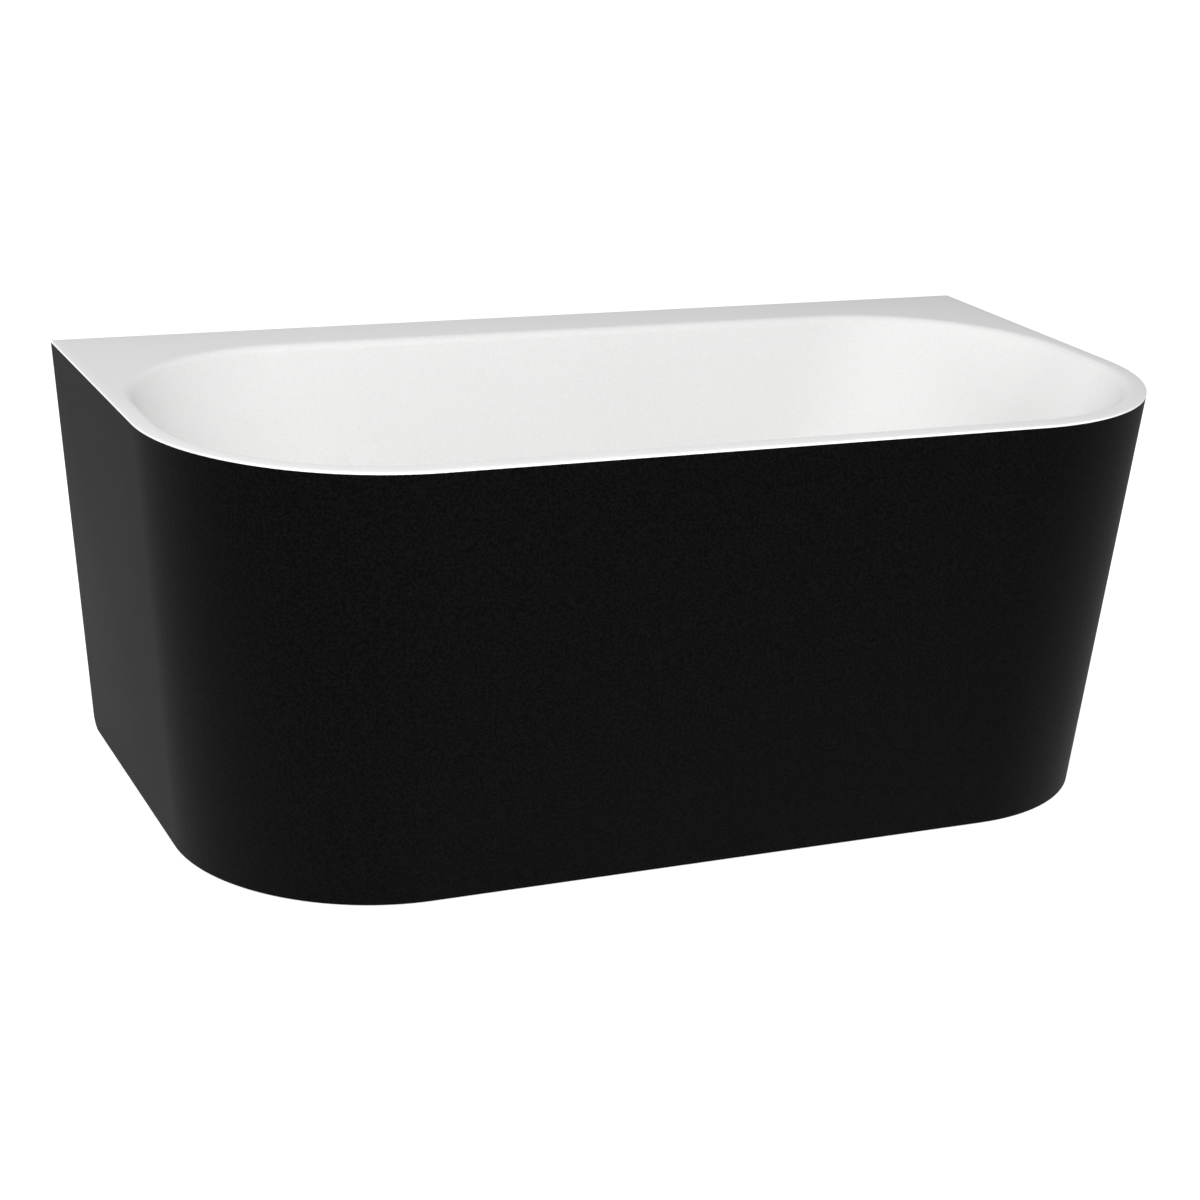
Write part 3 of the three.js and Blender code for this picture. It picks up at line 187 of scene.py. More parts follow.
LEAST_CORNER = 0.5 * MM
NEARLY_ROUND = 0.995  # a round loop keeps a trace of straight between its corners
FLAT_TOLERANCE = 1e-5
MERGE_DISTANCE = 1e-6
HELD_APART = Vector((0, 0, 1.0))
LIP_STEPS = 10
WALL_STEPS = 6
FOOT_STEPS = 14
EDGE_STEPS = 4
CROWN_STEPS = 4
HEEL_CUTS = 8
THREAD_STEPS = 24
SPRING_TURN_STEPS = 32
HEX_SIDE_STEPS = 4
DOME_STEPS = 14
HOLE_SIDES = 48
HOSE_SIDES = 20
HOSE_BEND_POINTS = 400
SPRING_WIRE_SIDES = 10

FLOOR_HALF_SIZE = 30.0
FLOOR_SQUARES = 8
FLOOR_GLOW = 0.62
WORLD_STRENGTH = 0.45
WORLD_SLOPE = 0.11
LIGHTS = (
    ("key", (-0.8, -2.6, 2.4), 2.0, 85.0),
    ("left_rear", (-2.3, 2.4, 1.2), 1.0, 24.0),
)
CAMERA_AZIMUTH = radians(-24.49)
CAMERA_ELEVATION = radians(18.56)
CAMERA_ROLL = radians(2.69)
CAMERA_DISTANCE = 3.90981
CAMERA_LENS = 78.2
CAMERA_SENSOR = 36.0
CAMERA_TARGET = Vector((-0.00025, 0.08695, 0.23952))


class BathSizes(bpy.types.PropertyGroup):
    """Roundings and fineness of the meshes"""

    edge_rounding: FloatProperty(
        name="Rim edge rounding", description="Radius along the outer edge of the rim",
        default=1.2 * MM, unit="LENGTH",
    )
    skirt_edge_rounding: FloatProperty(
        name="Skirt edge rounding", description="Radius along the edges of the skirt",
        default=1.6 * MM, unit="LENGTH",
    )
    rim_fall: FloatProperty(
        name="Rim fall", description="How far the rim's outer edge lies below its top",
        default=0.8 * MM, unit="LENGTH",
    )
    corner_steps: IntProperty(
        name="Corner steps", description="Faces round each corner of the bath", default=32,
    )
    turn_steps: IntProperty(
        name="Turning steps", description="Faces round a turned piece", default=64,
    )


class BathColours(bpy.types.PropertyGroup):
    """Colours of the finishes"""

    acrylic: FloatVectorProperty(
        name="Acrylic", description="Colour of the bath", default=(0.83, 0.83, 0.825),
        subtype="COLOR", size=3,
    )
    skirt: FloatVectorProperty(
        name="Skirt", description="Colour of the skirt", default=(0.0012, 0.0012, 0.0013),
        subtype="COLOR", size=3,
    )
    floor: FloatVectorProperty(
        name="Floor", description="Colour of the studio floor", default=(0.9, 0.9, 0.9),
        subtype="COLOR", size=3,
    )


# ---- Shader sums ----


class Value:
    """A socket of a shader node that can be used in sums"""

    def __init__(self, graph, socket):
        self.graph = graph
        self.socket = socket

    def sum_with(self, operation, first, second):
        return self.graph.node("ShaderNodeMath", {"operation": operation}, {0: first, 1: second})

    def __add__(self, other):
        return self.sum_with("ADD", self, other)

    def __sub__(self, other):
        return self.sum_with("SUBTRACT", self, other)

    def __rsub__(self, other):
        return self.sum_with("SUBTRACT", other, self)

    def __mul__(self, other):
        return self.sum_with("MULTIPLY", self, other)

    __radd__ = __add__
    __rmul__ = __mul__


class Graph:
    """The shader nodes of a material or of the world"""

    def __init__(self, owner):
        owner.use_nodes = True
        self.tree = owner.node_tree

    def node(self, kind, settings=None, inputs=None, output=0):
        """Adds a node: its settings first, then the values or links of its sockets"""
        made = self.tree.nodes.new(kind)
        for name, setting in (settings or {}).items():
            if name == "stops":
                self.set_stops(made.color_ramp, setting)
            else:
                setattr(made, name, setting)
        for name, value in (inputs or {}).items():
            self.connect(made.inputs[name], value)
        return Value(self, made.outputs[output])

    @staticmethod
    def set_stops(ramp, stops):
        while len(ramp.elements) < len(stops):
            ramp.elements.new(0.5)
        for element, (position, shade) in zip(ramp.elements, stops):
            element.position = position
            element.color = (shade, shade, shade, 1.0)

    def connect(self, socket, value):
        if isinstance(value, Value):
            self.tree.links.new(value.socket, socket)
        else:
            socket.default_value = value


class Finish(Graph):
    """One procedural material"""

    def __init__(self, name):
        self.material = bpy.data.materials.new(name)
        super().__init__(self.material)
        self.shader = self.tree.nodes["Principled BSDF"]
        self.place = self.node("ShaderNodeTexCoord", output="Object")

    def noise(self, scale, detail=3.0, roughness=0.5, stretch=(1, 1, 1)):
        """Cloudy pattern from 0 to 1, with scale in cycles to the metre"""
        place = self.node("ShaderNodeMapping", None, {"Vector": self.place, "Scale": stretch})
        inputs = {"Vector": place, "Scale": scale, "Detail": detail, "Roughness": roughness}
        return self.node("ShaderNodeTexNoise", None, inputs)

    def ramp(self, factor, stops):
        return self.node("ShaderNodeValToRGB", {"stops": stops}, {"Fac": factor})

    def mix(self, factor, first, second):
        """Colour between two colours"""
        first, second = [
            shade if isinstance(shade, Value) else (*shade[:3], 1.0) for shade in (first, second)
        ]
        settings = {"data_type": "RGBA"}
        return self.node("ShaderNodeMix", settings, {0: factor, 6: first, 7: second}, output=2)

    def bump(self, height, distance, strength=1.0):
        inputs = {"Height": height, "Distance": distance, "Strength": strength}
        return self.node("ShaderNodeBump", None, inputs)

    def surface(self, **sockets):
        """Sets the main shader's sockets, with spaces in their names written as _"""
        for name, value in sockets.items():
            if isinstance(value, tuple) and len(value) == 3:
                value = (*value, 1.0)
            self.connect(self.shader.inputs[name.replace("_", " ")], value)
        return self.material


def shaded(colour, share):
    return tuple(channel * share for channel in colour[:3])


# ---- Materials ----


def acrylic_finish(colour):
    """Satin sanitary acrylic, with a fine speckle and a faint ripple left by the mould"""
    finish = Finish("white_acrylic")
    cloud = finish.noise(3.0, 2.0)
    ripple = finish.noise(14.0, 2.0)
    speck = finish.noise(280.0, 1.0, 0.6)
    tint = finish.mix(0.3 * cloud + 0.7 * speck, shaded(colour, 0.9), shaded(colour, 1.06))
    normal = finish.bump(ripple + 0.25 * speck, 0.5 * MM, 0.15)
    roughness = 0.5 + 0.08 * cloud + 0.06 * speck
    finish.connect(finish.shader.inputs["Specular IOR Level"], 0.3)
    return finish.surface(Base_Color=tint, Roughness=roughness, Normal=normal, IOR=1.49)


def skirt_finish(colour):
    """Matt black lacquer: a fine grain, with a slightly uneven sheen"""
    finish = Finish("matt_black_lacquer")
    grain = finish.noise(280.0, 1.0, 0.6)
    cloud = finish.noise(2.6, 3.0)
    speckle = finish.ramp(grain, [(0.38, 0.0), (0.62, 1.0)])
    tint = finish.mix(speckle, shaded(colour, 0.1), shaded(colour, 1.9))
    normal = finish.bump(speckle, 0.18 * MM, 0.7)
    roughness = 0.55 + 0.08 * cloud + 0.1 * grain
    finish.connect(finish.shader.inputs["Specular IOR Level"], 0.03)
    finish.connect(finish.shader.inputs["Sheen Weight"], 0.02)
    finish.connect(finish.shader.inputs["Sheen Roughness"], 0.5)
    return finish.surface(Base_Color=tint, Roughness=roughness, Normal=normal)


def glass_fibre_finish():
    """Chopped strands of glass in cured resin"""
    finish = Finish("glass_fibre_and_resin")
    strands = finish.noise(220.0, 4.0, 0.7, (1, 0.25, 1))
    crossing = finish.noise(220.0, 4.0, 0.7, (0.25, 1, 0.6))
    pooled = finish.noise(9.0, 3.0)
    web = finish.ramp(strands * crossing, [(0.16, 0.0), (0.36, 1.0)])
    dry = finish.mix(web, (0.42, 0.37, 0.24), (0.62, 0.57, 0.43))
    tint = finish.mix(pooled, dry, (0.5, 0.46, 0.33))
    normal = finish.bump(web + pooled, 0.8 * MM, 0.6)
    return finish.surface(Base_Color=tint, Roughness=0.35 + 0.3 * web, Normal=normal)


def timber_finish(pale, dark):
    """Plywood with its grain along the bath"""
    finish = Finish("plywood")
    along = (0.1, 1, 1)
    grain = finish.noise(60.0, 5.0, 0.65, along)
    pores = finish.noise(420.0, 3.0, 0.6, along)
    figure = finish.ramp(grain, [(0.3, 0.0), (0.62, 1.0)])
    tint = finish.mix(figure * 0.7 + pores * 0.3, dark, pale)
    normal = finish.bump(grain * 0.6 + pores * 0.4, 0.4 * MM, 0.5)
    return finish.surface(Base_Color=tint, Roughness=0.62 + 0.2 * pores, Normal=normal)


def galvanised_finish():
    """Hot-dip zinc on steel, with its crystal pattern"""
    finish = Finish("galvanised_steel")
    spangle = finish.node(
        "ShaderNodeTexVoronoi", {"feature": "F1"}, {"Vector": finish.place, "Scale": 110.0}, "Color"
    )
    shade = finish.node("ShaderNodeSeparateColor", None, {"Color": spangle}, "Red")
    dust = finish.noise(35.0, 4.0)
    tint = finish.mix(shade * 0.6 + dust * 0.4, (0.36, 0.38, 0.39), (0.6, 0.62, 0.63))
    normal = finish.bump(shade * 0.3 + dust, 0.15 * MM, 0.4)
    roughness = 0.32 + 0.22 * shade + 0.1 * dust
    return finish.surface(Base_Color=tint, Roughness=roughness, Normal=normal, Metallic=0.9)


def zinc_finish():
    """Bright zinc plate, slightly dulled by handling"""
    finish = Finish("bright_zinc_plate")
    haze = finish.noise(70.0, 4.0, 0.6)
    scratches = finish.noise(500.0, 3.0, 0.6, (1, 1, 0.08))
    tint = finish.mix(haze, (0.55, 0.57, 0.6), (0.75, 0.76, 0.78))
    normal = finish.bump(scratches, 0.05 * MM, 0.3)
    return finish.surface(Base_Color=tint, Roughness=0.25 + 0.25 * haze, Normal=normal, Metallic=1.0)


def chrome_finish():
    """Polished chrome with faint water marks"""
    finish = Finish("polished_chrome")
    haze = finish.noise(60.0, 4.0, 0.6)
    tint = finish.mix(haze, (0.78, 0.79, 0.81), (0.86, 0.87, 0.88))
    return finish.surface(Base_Color=tint, Roughness=0.05 + 0.07 * haze, Metallic=1.0)


def moulded_finish(name, colour, roughness):
    """Moulded plastic with a fine eroded texture"""
    finish = Finish(name)
    texture = finish.noise(1200.0, 2.0)
    flow = finish.noise(25.0, 3.0)
    tint = finish.mix(flow, shaded(colour, 0.85), shaded(colour, 1.15))
    normal = finish.bump(texture, 0.06 * MM, 0.4)
    return finish.surface(Base_Color=tint, Roughness=roughness + 0.12 * flow, Normal=normal)


def floor_finish(colour):
    """Plain pale studio floor"""
    finish = Finish("studio_floor")
    cloud = finish.noise(0.7, 2.0)
    tint = finish.mix(cloud, shaded(colour, 0.99), shaded(colour, 1.0))
    finish.connect(finish.shader.inputs["Specular IOR Level"], 0.0)
    finish.connect(finish.shader.inputs["Emission Color"], (1.0, 1.0, 1.0, 1.0))
    finish.connect(finish.shader.inputs["Emission Strength"], FLOOR_GLOW)
    return finish.surface(Base_Color=tint, Roughness=0.9)


MADE_FINISHES = {}


def finish_for(slot):
    """The material of one of the record's slots, made once"""
    colours = bpy.context.scene.bath_colours
    makers = {
        "acrylic": (acrylic_finish, colours.acrylic),
        "skirt": (skirt_finish, colours.skirt),
        "glass_fibre": (glass_fibre_finish,),
        "timber": (timber_finish, (0.62, 0.43, 0.24), (0.4, 0.25, 0.12)),
        "galvanised": (galvanised_finish,),
        "zinc": (zinc_finish,),
        "chrome": (chrome_finish,),
        "black_plastic": (moulded_finish, "black_plastic", (0.02, 0.02, 0.021), 0.42),
        "white_plastic": (moulded_finish, "white_plastic", (0.75, 0.75, 0.73), 0.38),
        "rubber": (moulded_finish, "black_rubber", (0.018, 0.018, 0.018), 0.7),
    }
    if slot not in MADE_FINISHES:
        maker, *arguments = makers[slot]
        MADE_FINISHES[slot] = maker(*arguments)
    return MADE_FINISHES[slot]


SLOT_OF = {part["node"]: part["material_slot"] for part in frame["record"]["subparts"]}
BODY_OF = {
    node: body for body, nodes in frame["record"]["behaviour"]["bodies"].items() for node in nodes
}


# ---- Mesh helpers ----


def stand_in(bm, name, node, sharp=35, modifiers=(), rides=True):
    """Makes the bmesh an object that replaces a CAD node, in the same body and finish"""
    bmesh.ops.remove_doubles(bm, verts=bm.verts, dist=MERGE_DISTANCE)
    bmesh.ops.recalc_face_normals(bm, faces=bm.faces)
    for face in bm.faces:
        face.smooth = True
    mesh = bpy.data.meshes.new(name)
    bm.to_mesh(mesh)
    bm.free()
    mesh.set_sharp_from_angle(angle=radians(sharp))
    piece = bpy.data.objects.new(name, mesh)
    bpy.context.scene.collection.objects.link(piece)
    for kind, settings in modifiers:
        modifier = piece.modifiers.new(kind.title(), kind)
        for key, setting in settings.items():
            setattr(modifier, key, setting)
    piece.data.materials.append(finish_for(SLOT_OF[node]))
    if rides:
        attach(piece, BODY_OF[node])
    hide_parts(node)
    return piece


def bevelled(width, segments=2, angle=30):
    settings = {
        "width": width, "segments": segments, "limit_method": "ANGLE", "angle_limit": radians(angle),
        "use_clamp_overlap": True,
    }
    return ("BEVEL", settings)


def turned(name, node, profile, place=(0, 0, 0), turn=None, rounding=0.0, sharp=30):
    """Spins a profile of [radius, height] points in mm about Z. A profile that doesn't
    start and end on the axis is closed on itself."""
    bm = bmesh.new()
    verts = [bm.verts.new((radius * MM, 0, height * MM)) for radius, height in profile]
    ring = profile[0][0] > 0
    pairs = zip(verts, verts[1:] + (verts[:1] if ring else []))
    for first, second in pairs:
        bm.edges.new((first, second))
    steps = bpy.context.scene.bath_sizes.turn_steps
    bmesh.ops.spin(
        bm, geom=bm.verts[:] + bm.edges[:], cent=(0, 0, 0), axis=(0, 0, 1), angle=2 * pi,
        steps=steps, use_merge=True,
    )
    bmesh.ops.transform(bm, matrix=turn or Matrix.Identity(4), verts=bm.verts)
    bmesh.ops.translate(bm, vec=Vector(place), verts=bm.verts)
    modifiers = [bevelled(rounding)] if rounding else []
    return stand_in(bm, name, node, sharp, modifiers)


def rounded_loop(bm, half_length, front, rear, front_radius, rear_radius, z):
    """Edges round a level rectangle with rounded corners"""
    corners = [(half_length, front), (-half_length, front), (-half_length, rear), (half_length, rear)]
    verts = [bm.verts.new((x, y, z)) for x, y in corners]
    bm.faces.new(verts)
    for pair, radius in ((verts[:2], front_radius), (verts[2:], rear_radius)):
        bmesh.ops.bevel(
            bm, geom=pair, offset=radius, offset_type="OFFSET", affect="VERTICES",
            segments=bpy.context.scene.bath_sizes.corner_steps, profile=0.5, material=-1,
        )
    face = next(iter(bm.faces))
    edges = face.edges[:]
    bmesh.ops.delete(bm, geom=[face], context="FACES_ONLY")
    return edges


def round_loop(bm, radius, z):
    """The same number of edges round the waste"""
    corner = NEARLY_ROUND * radius
    return rounded_loop(bm, radius, BASIN_Y - radius, BASIN_Y + radius, corner, corner, z)


def skin(bm, loops, closed=False):
    """Faces from each loop of edges to the next. The second loop of a pair is held well apart
    while they are joined, because level loops could be joined the wrong way round."""
    for first, second in zip(loops, loops[1:] + (loops[:1] if closed else [])):
        verts = list({vert for edge in second for vert in edge.verts})
        bmesh.ops.translate(bm, vec=HELD_APART, verts=verts)
        bmesh.ops.bridge_loops(bm, edges=first + second)
        bmesh.ops.translate(bm, vec=-HELD_APART, verts=verts)


def steps_between(start, end, count):
    return [start + (end - start) * step / count for step in range(count + 1)]


# ---- Bath ----


class Wall:
    """One wall of the basin in section: a rounded lip, a straight lean and a rounded foot.
    It gives the inset from the opening's edge at a drop below the rim."""

    def __init__(self, lean, depth):
        self.lean = lean
        self.foot_drop = depth - FOOT_RADIUS
        run = self.foot_drop + FOOT_RADIUS * sin(lean) - LIP_RADIUS * (1 - sin(lean))
        self.foot_inset = (LIP_RADIUS + FOOT_RADIUS) * cos(lean) + run * tan(lean)

    def inset(self, drop, offset):
        lip = LIP_RADIUS - offset
        foot = FOOT_RADIUS + offset
        wall_top = LIP_RADIUS - lip * sin(self.lean)
        wall_foot = self.foot_drop + foot * sin(self.lean)
        if drop <= wall_top:
            return sqrt(max(0, lip**2 - (LIP_RADIUS - drop) ** 2))
        if drop < wall_foot:
            return lip * cos(self.lean) + (drop - wall_top) * tan(self.lean)
        return self.foot_inset - sqrt(max(0, foot**2 - (drop - self.foot_drop) ** 2))

    def lip_drops(self, offset):
        angles = steps_between(0, pi / 2 - self.lean, LIP_STEPS)
        return [LIP_RADIUS - (LIP_RADIUS - offset) * cos(angle) for angle in angles]

    def foot_drops(self, offset):
        angles = steps_between(self.lean, pi / 2, FOOT_STEPS)
        return [self.foot_drop + (FOOT_RADIUS + offset) * sin(angle) for angle in angles]


def basin_loops(bm, drops, offset, depth):
    side = Wall(SIDE_LEAN, depth)
    end = Wall(END_LEAN, depth)
    loops = []
    for drop in drops:
        inset = side.inset(drop, offset)
        radius = OPENING_RADIUS - CORNER_TIGHTENING * inset
        half_length = BATH_HIGH.x - END_RIM - end.inset(drop, offset)
        front = BATH_LOW.y + FRONT_RIM + inset
        rear = BATH_HIGH.y - REAR_RIM - inset
        loops.append(rounded_loop(bm, half_length, front, rear, radius, radius, RIM_Z - drop))
    return loops


def bath_surface(bm, offset):
    """Loops from the opening's edge down to the hole for the waste"""
    side = Wall(SIDE_LEAN, BASIN_DEPTH)
    lip = side.lip_drops(offset)
    foot = side.foot_drops(offset)
    wall = steps_between(lip[-1], foot[0], WALL_STEPS)[1:-1]
    dish_z = RIM_Z - BASIN_DEPTH - FLOOR_FALL - offset
    loops = basin_loops(bm, lip + wall + foot, offset, BASIN_DEPTH)
    loops.append(round_loop(bm, DISH_RADIUS, dish_z))
    recess = [
        (RECESS_RADIUS + offset + RECESS_ROUNDING, dish_z),
        (RECESS_RADIUS + offset, dish_z - RECESS_ROUNDING),
        (RECESS_RADIUS + offset, dish_z - RECESS_DEPTH),
        (WASTE_HOLE_RADIUS, dish_z - RECESS_DEPTH),
    ]
    return loops + [round_loop(bm, radius, z) for radius, z in recess]


def rim_loops(bm, sizes):
    """Loops from the rim's underside, round its outer edge and onto its top"""
    rounding = sizes.edge_rounding
    edge = [(0, RIM_Z - SHELL)]
    for angle in steps_between(0, pi / 2, EDGE_STEPS):
        rise = rounding * (sin(angle) - 1) - sizes.rim_fall
        edge.append((rounding * (1 - cos(angle)), RIM_Z + rise))
    for share in steps_between(0, 1, CROWN_STEPS)[1:]:
        inset = rounding + (CROWN_WIDTH - rounding) * share
        edge.append((inset, RIM_Z - sizes.rim_fall * (1 - share) ** 2))
    loops = []
    for inset, z in edge:
        rear_radius = max(REAR_CORNER_RADIUS - inset, LEAST_CORNER)
        loops.append(rounded_loop(
            bm, BATH_HIGH.x - inset, BATH_LOW.y + inset, BATH_HIGH.y - inset,
            FRONT_CORNER_RADIUS - inset, rear_radius, z,
        ))
    return loops


def overflow_place():
    """The overflow's own frame on the front wall: Z points into the bath and Y down the wall"""
    inset = Wall(SIDE_LEAN, BASIN_DEPTH).inset(OVERFLOW_DROP, 0)
    place = Vector((0, BATH_LOW.y + FRONT_RIM + inset, RIM_Z - OVERFLOW_DROP))
    return Matrix.Translation(place) @ Matrix.Rotation(SIDE_LEAN - pi / 2, 4, "X")


def with_overflow_hole(piece):
    """Cuts the overflow's hole through a wall of the bath"""
    bm = bmesh.new()
    bmesh.ops.create_cone(
        bm, cap_ends=True, segments=HOLE_SIDES, radius1=OVERFLOW_HOLE_RADIUS,
        radius2=OVERFLOW_HOLE_RADIUS, depth=HOLE_CUT_LENGTH, matrix=overflow_place(),
    )
    mesh = bpy.data.meshes.new("overflow_hole")
    bm.to_mesh(mesh)
    bm.free()
    cutter = bpy.data.objects.new("overflow_hole", mesh)
    bpy.context.scene.collection.objects.link(cutter)
    modifier = piece.modifiers.new("Overflow hole", "BOOLEAN")
    modifier.object = cutter
    modifier.operation = "DIFFERENCE"
    cut = bpy.data.meshes.new_from_object(piece.evaluated_get(bpy.context.evaluated_depsgraph_get()))
    piece.modifiers.clear()
    whole = piece.data
    piece.data = cut
    bpy.data.meshes.remove(whole)
    bpy.data.objects.remove(cutter)
    bpy.data.meshes.remove(mesh)
    return piece


def make_bath():
    sizes = bpy.context.scene.bath_sizes
    bm = bmesh.new()
    underside = bath_surface(bm, SHELL)[::-1]
    loops = underside + rim_loops(bm, sizes) + bath_surface(bm, 0)
    skin(bm, loops, closed=True)
    return with_overflow_hole(stand_in(bm, "bath", "bath_shell", 40))


def make_backing():
    """Glass fibre under the acrylic, flat underneath so that it can lie on the base board"""
    bm = bmesh.new()
    flat_depth = BASIN_DEPTH + FLOOR_FALL
    layers = []
    for offset, depth in ((BACKING_OUTSIDE, flat_depth), (BACKING_INSIDE, BASIN_DEPTH)):
        foot = Wall(SIDE_LEAN, depth).foot_drops(offset)
        wall = steps_between(BACKING_START, foot[0], WALL_STEPS)[:-1]
        layers.append(basin_loops(bm, wall + foot, offset, depth))
    outside, inside = layers
    dish_z = RIM_Z - flat_depth
    hole = [
        (DISH_RADIUS, dish_z - BACKING_INSIDE),
        (BACKING_HOLE_RADIUS, dish_z - BACKING_INSIDE),
        (BACKING_HOLE_RADIUS, dish_z - BACKING_OUTSIDE),
    ]
    loops = outside[::-1] + inside + [round_loop(bm, radius, z) for radius, z in hole]
    skin(bm, loops, closed=True)
    return with_overflow_hole(stand_in(bm, "glass_fibre", "glass_fibre_backing", 40))


# ---- Skirt ----


def make_skirt():
    """A bent sheet round three sides, turned in along the wall, with rounded lower rear corners"""
    sizes = bpy.context.scene.bath_sizes
    bm = bmesh.new()
    taper = Vector((SKIRT_END_TAPER, SKIRT_FRONT_TAPER))
    levels = (
        (SKIRT_LOW.z, taper, SKIRT_BASE_RADIUS),
        (SKIRT_HIGH.z, Vector((0, 0)), FRONT_CORNER_RADIUS),
    )
    loops = [
        rounded_loop(
            bm, SKIRT_HIGH.x - inset.x, SKIRT_LOW.y + inset.y, SKIRT_HIGH.y,
            radius, LEAST_CORNER, z,
        )
        for z, inset, radius in levels
    ]
    skin(bm, loops)
    open_back(bm)
    round_heel(bm)
    solid = {
        "thickness": SKIRT_THICKNESS, "offset": -1.0, "use_even_offset": True,
        "use_quality_normals": True,
    }
    rounding = bevelled(sizes.skirt_edge_rounding, 3)
    return stand_in(bm, "skirt_panel", "skirt", 35, [("SOLIDIFY", solid), rounding])


def open_back(bm):
    """Removes the rear wall between the two flanges that turn in along the wall"""
    rear = SKIRT_HIGH.y - FLAT_TOLERANCE
    lean = SKIRT_END_TAPER / (SKIRT_HIGH.z - SKIRT_LOW.z)
    for side in (-1, 1):
        wall = [face for face in bm.faces if all(vert.co.y > rear for vert in face.verts)]
        geom = {item for face in wall for item in (face, *face.edges, *face.verts)}
        flange_end = Vector((side * (SKIRT_HIGH.x - SKIRT_RETURN), 0, SKIRT_HIGH.z))
        bmesh.ops.bisect_plane(
            bm, geom=list(geom), dist=FLAT_TOLERANCE, plane_co=flange_end, plane_no=(side, 0, -lean),
        )
    middle = [
        face for face in bm.faces
        if abs(face.calc_center_median().x) < FLAT_TOLERANCE and face.calc_center_median().y > rear
    ]
    bmesh.ops.delete(bm, geom=middle, context="FACES")


def round_heel(bm):
    """Rounds the lower rear corner, as seen from the side, with one cut for each step"""
    centre = Vector((0, SKIRT_HIGH.y - SKIRT_HEEL_RADIUS, SKIRT_LOW.z + SKIRT_HEEL_RADIUS))
    for angle in steps_between(0, pi / 2, HEEL_CUTS + 1)[1:-1]:
        outward = Vector((0, sin(angle), -cos(angle)))
        bmesh.ops.bisect_plane(
            bm, geom=bm.verts[:] + bm.edges[:] + bm.faces[:], dist=FLAT_TOLERANCE,
            plane_co=centre + SKIRT_HEEL_RADIUS * outward, plane_no=outward, clear_outer=True,
        )


# ---- Levelling feet ----


def capped_thread(bm, radius, bottom, top):
    """A screw thread about Z: one zigzag line turned once as it rises by a pitch, cut off flat"""
    steps = THREAD_STEPS
    crests = int((top - bottom) / THREAD_PITCH) + 3
    line = []
    for half_turn in range(2 * crests + 1):
        depth = THREAD_DEPTH if half_turn % 2 else 0
        z = bottom + (half_turn / 2 - 2) * THREAD_PITCH
        line.append(bm.verts.new((radius - depth, 0, z)))
    edges = [bm.edges.new(pair) for pair in zip(line, line[1:])]
    bmesh.ops.spin(
        bm, geom=line + edges, cent=(0, 0, 0), axis=(0, 0, 1), angle=2 * pi, steps=steps,
        dvec=(0, 0, THREAD_PITCH / steps),
    )
    bmesh.ops.remove_doubles(bm, verts=bm.verts, dist=FLAT_TOLERANCE)
    for z, side in ((bottom, -1), (top, 1)):
        bmesh.ops.bisect_plane(
            bm, geom=bm.verts[:] + bm.edges[:] + bm.faces[:], dist=FLAT_TOLERANCE,
            plane_co=(0, 0, z), plane_no=(0, 0, side), clear_outer=True,
        )
    bmesh.ops.holes_fill(bm, edges=[edge for edge in bm.edges if edge.is_boundary])


def hex_loop(bm, across_flats, z):
    """Edges round a hexagon, with each side in four"""
    made = bmesh.ops.create_circle(bm, segments=6, radius=across_flats / sqrt(3))["verts"]
    bmesh.ops.translate(bm, vec=(0, 0, z), verts=made)
    edges = list({edge for vert in made for edge in vert.link_edges})
    cut = bmesh.ops.subdivide_edges(bm, edges=edges, cuts=HEX_SIDE_STEPS - 1)["geom_split"]
    return list({item for item in cut if isinstance(item, bmesh.types.BMEdge)})


def bore_loop(bm, radius, z):
    made = bmesh.ops.create_circle(bm, segments=6 * HEX_SIDE_STEPS, radius=radius)["verts"]
    bmesh.ops.translate(bm, vec=(0, 0, z), verts=made)
    return list({edge for vert in made for edge in vert.link_edges})


def hex_ring(bm, across_flats, bore, bottom, top):
    """A hexagon with a round hole, its corners taken down as on a turned nut"""
    chamfer = NUT_CHAMFER
    loops = [
        bore_loop(bm, bore, bottom),
        bore_loop(bm, across_flats / 2 - chamfer / 2, bottom),
        hex_loop(bm, across_flats, bottom + chamfer),
        hex_loop(bm, across_flats, top - chamfer),
        bore_loop(bm, across_flats / 2 - chamfer / 2, top),
        bore_loop(bm, bore, top),
    ]
    skin(bm, loops, closed=True)


def make_nut(place, kind):
    node = f"foot_{kind}_nut_{place}"
    low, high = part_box(node)
    bm = bmesh.new()
    hex_ring(bm, high.y - low.y, NUT_BORE, low.z, high.z)
    turn_to_foot(bm, low, high)
    return stand_in(bm, f"{kind}_nut_{place}", node, 25)


def turn_to_foot(bm, low, high):
    centre = (low + high) / 2
    bmesh.ops.translate(bm, vec=(centre.x, centre.y, 0), verts=bm.verts)


def make_stud(place):
    """A threaded rod with a hexagon near its foot for a spanner"""
    node = f"foot_stud_{place}"
    low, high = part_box(node)
    bm = bmesh.new()
    capped_thread(bm, STUD_RADIUS, low.z, high.z)
    hex_bottom = PAD_HEIGHT + STUD_HEX_LIFT
    hex_ring(bm, STUD_HEX, STUD_RADIUS - THREAD_DEPTH, hex_bottom, hex_bottom + STUD_HEX_HEIGHT)
    turn_to_foot(bm, low, high)
    return stand_in(bm, f"foot_stud_{place}_threaded", node, 25)


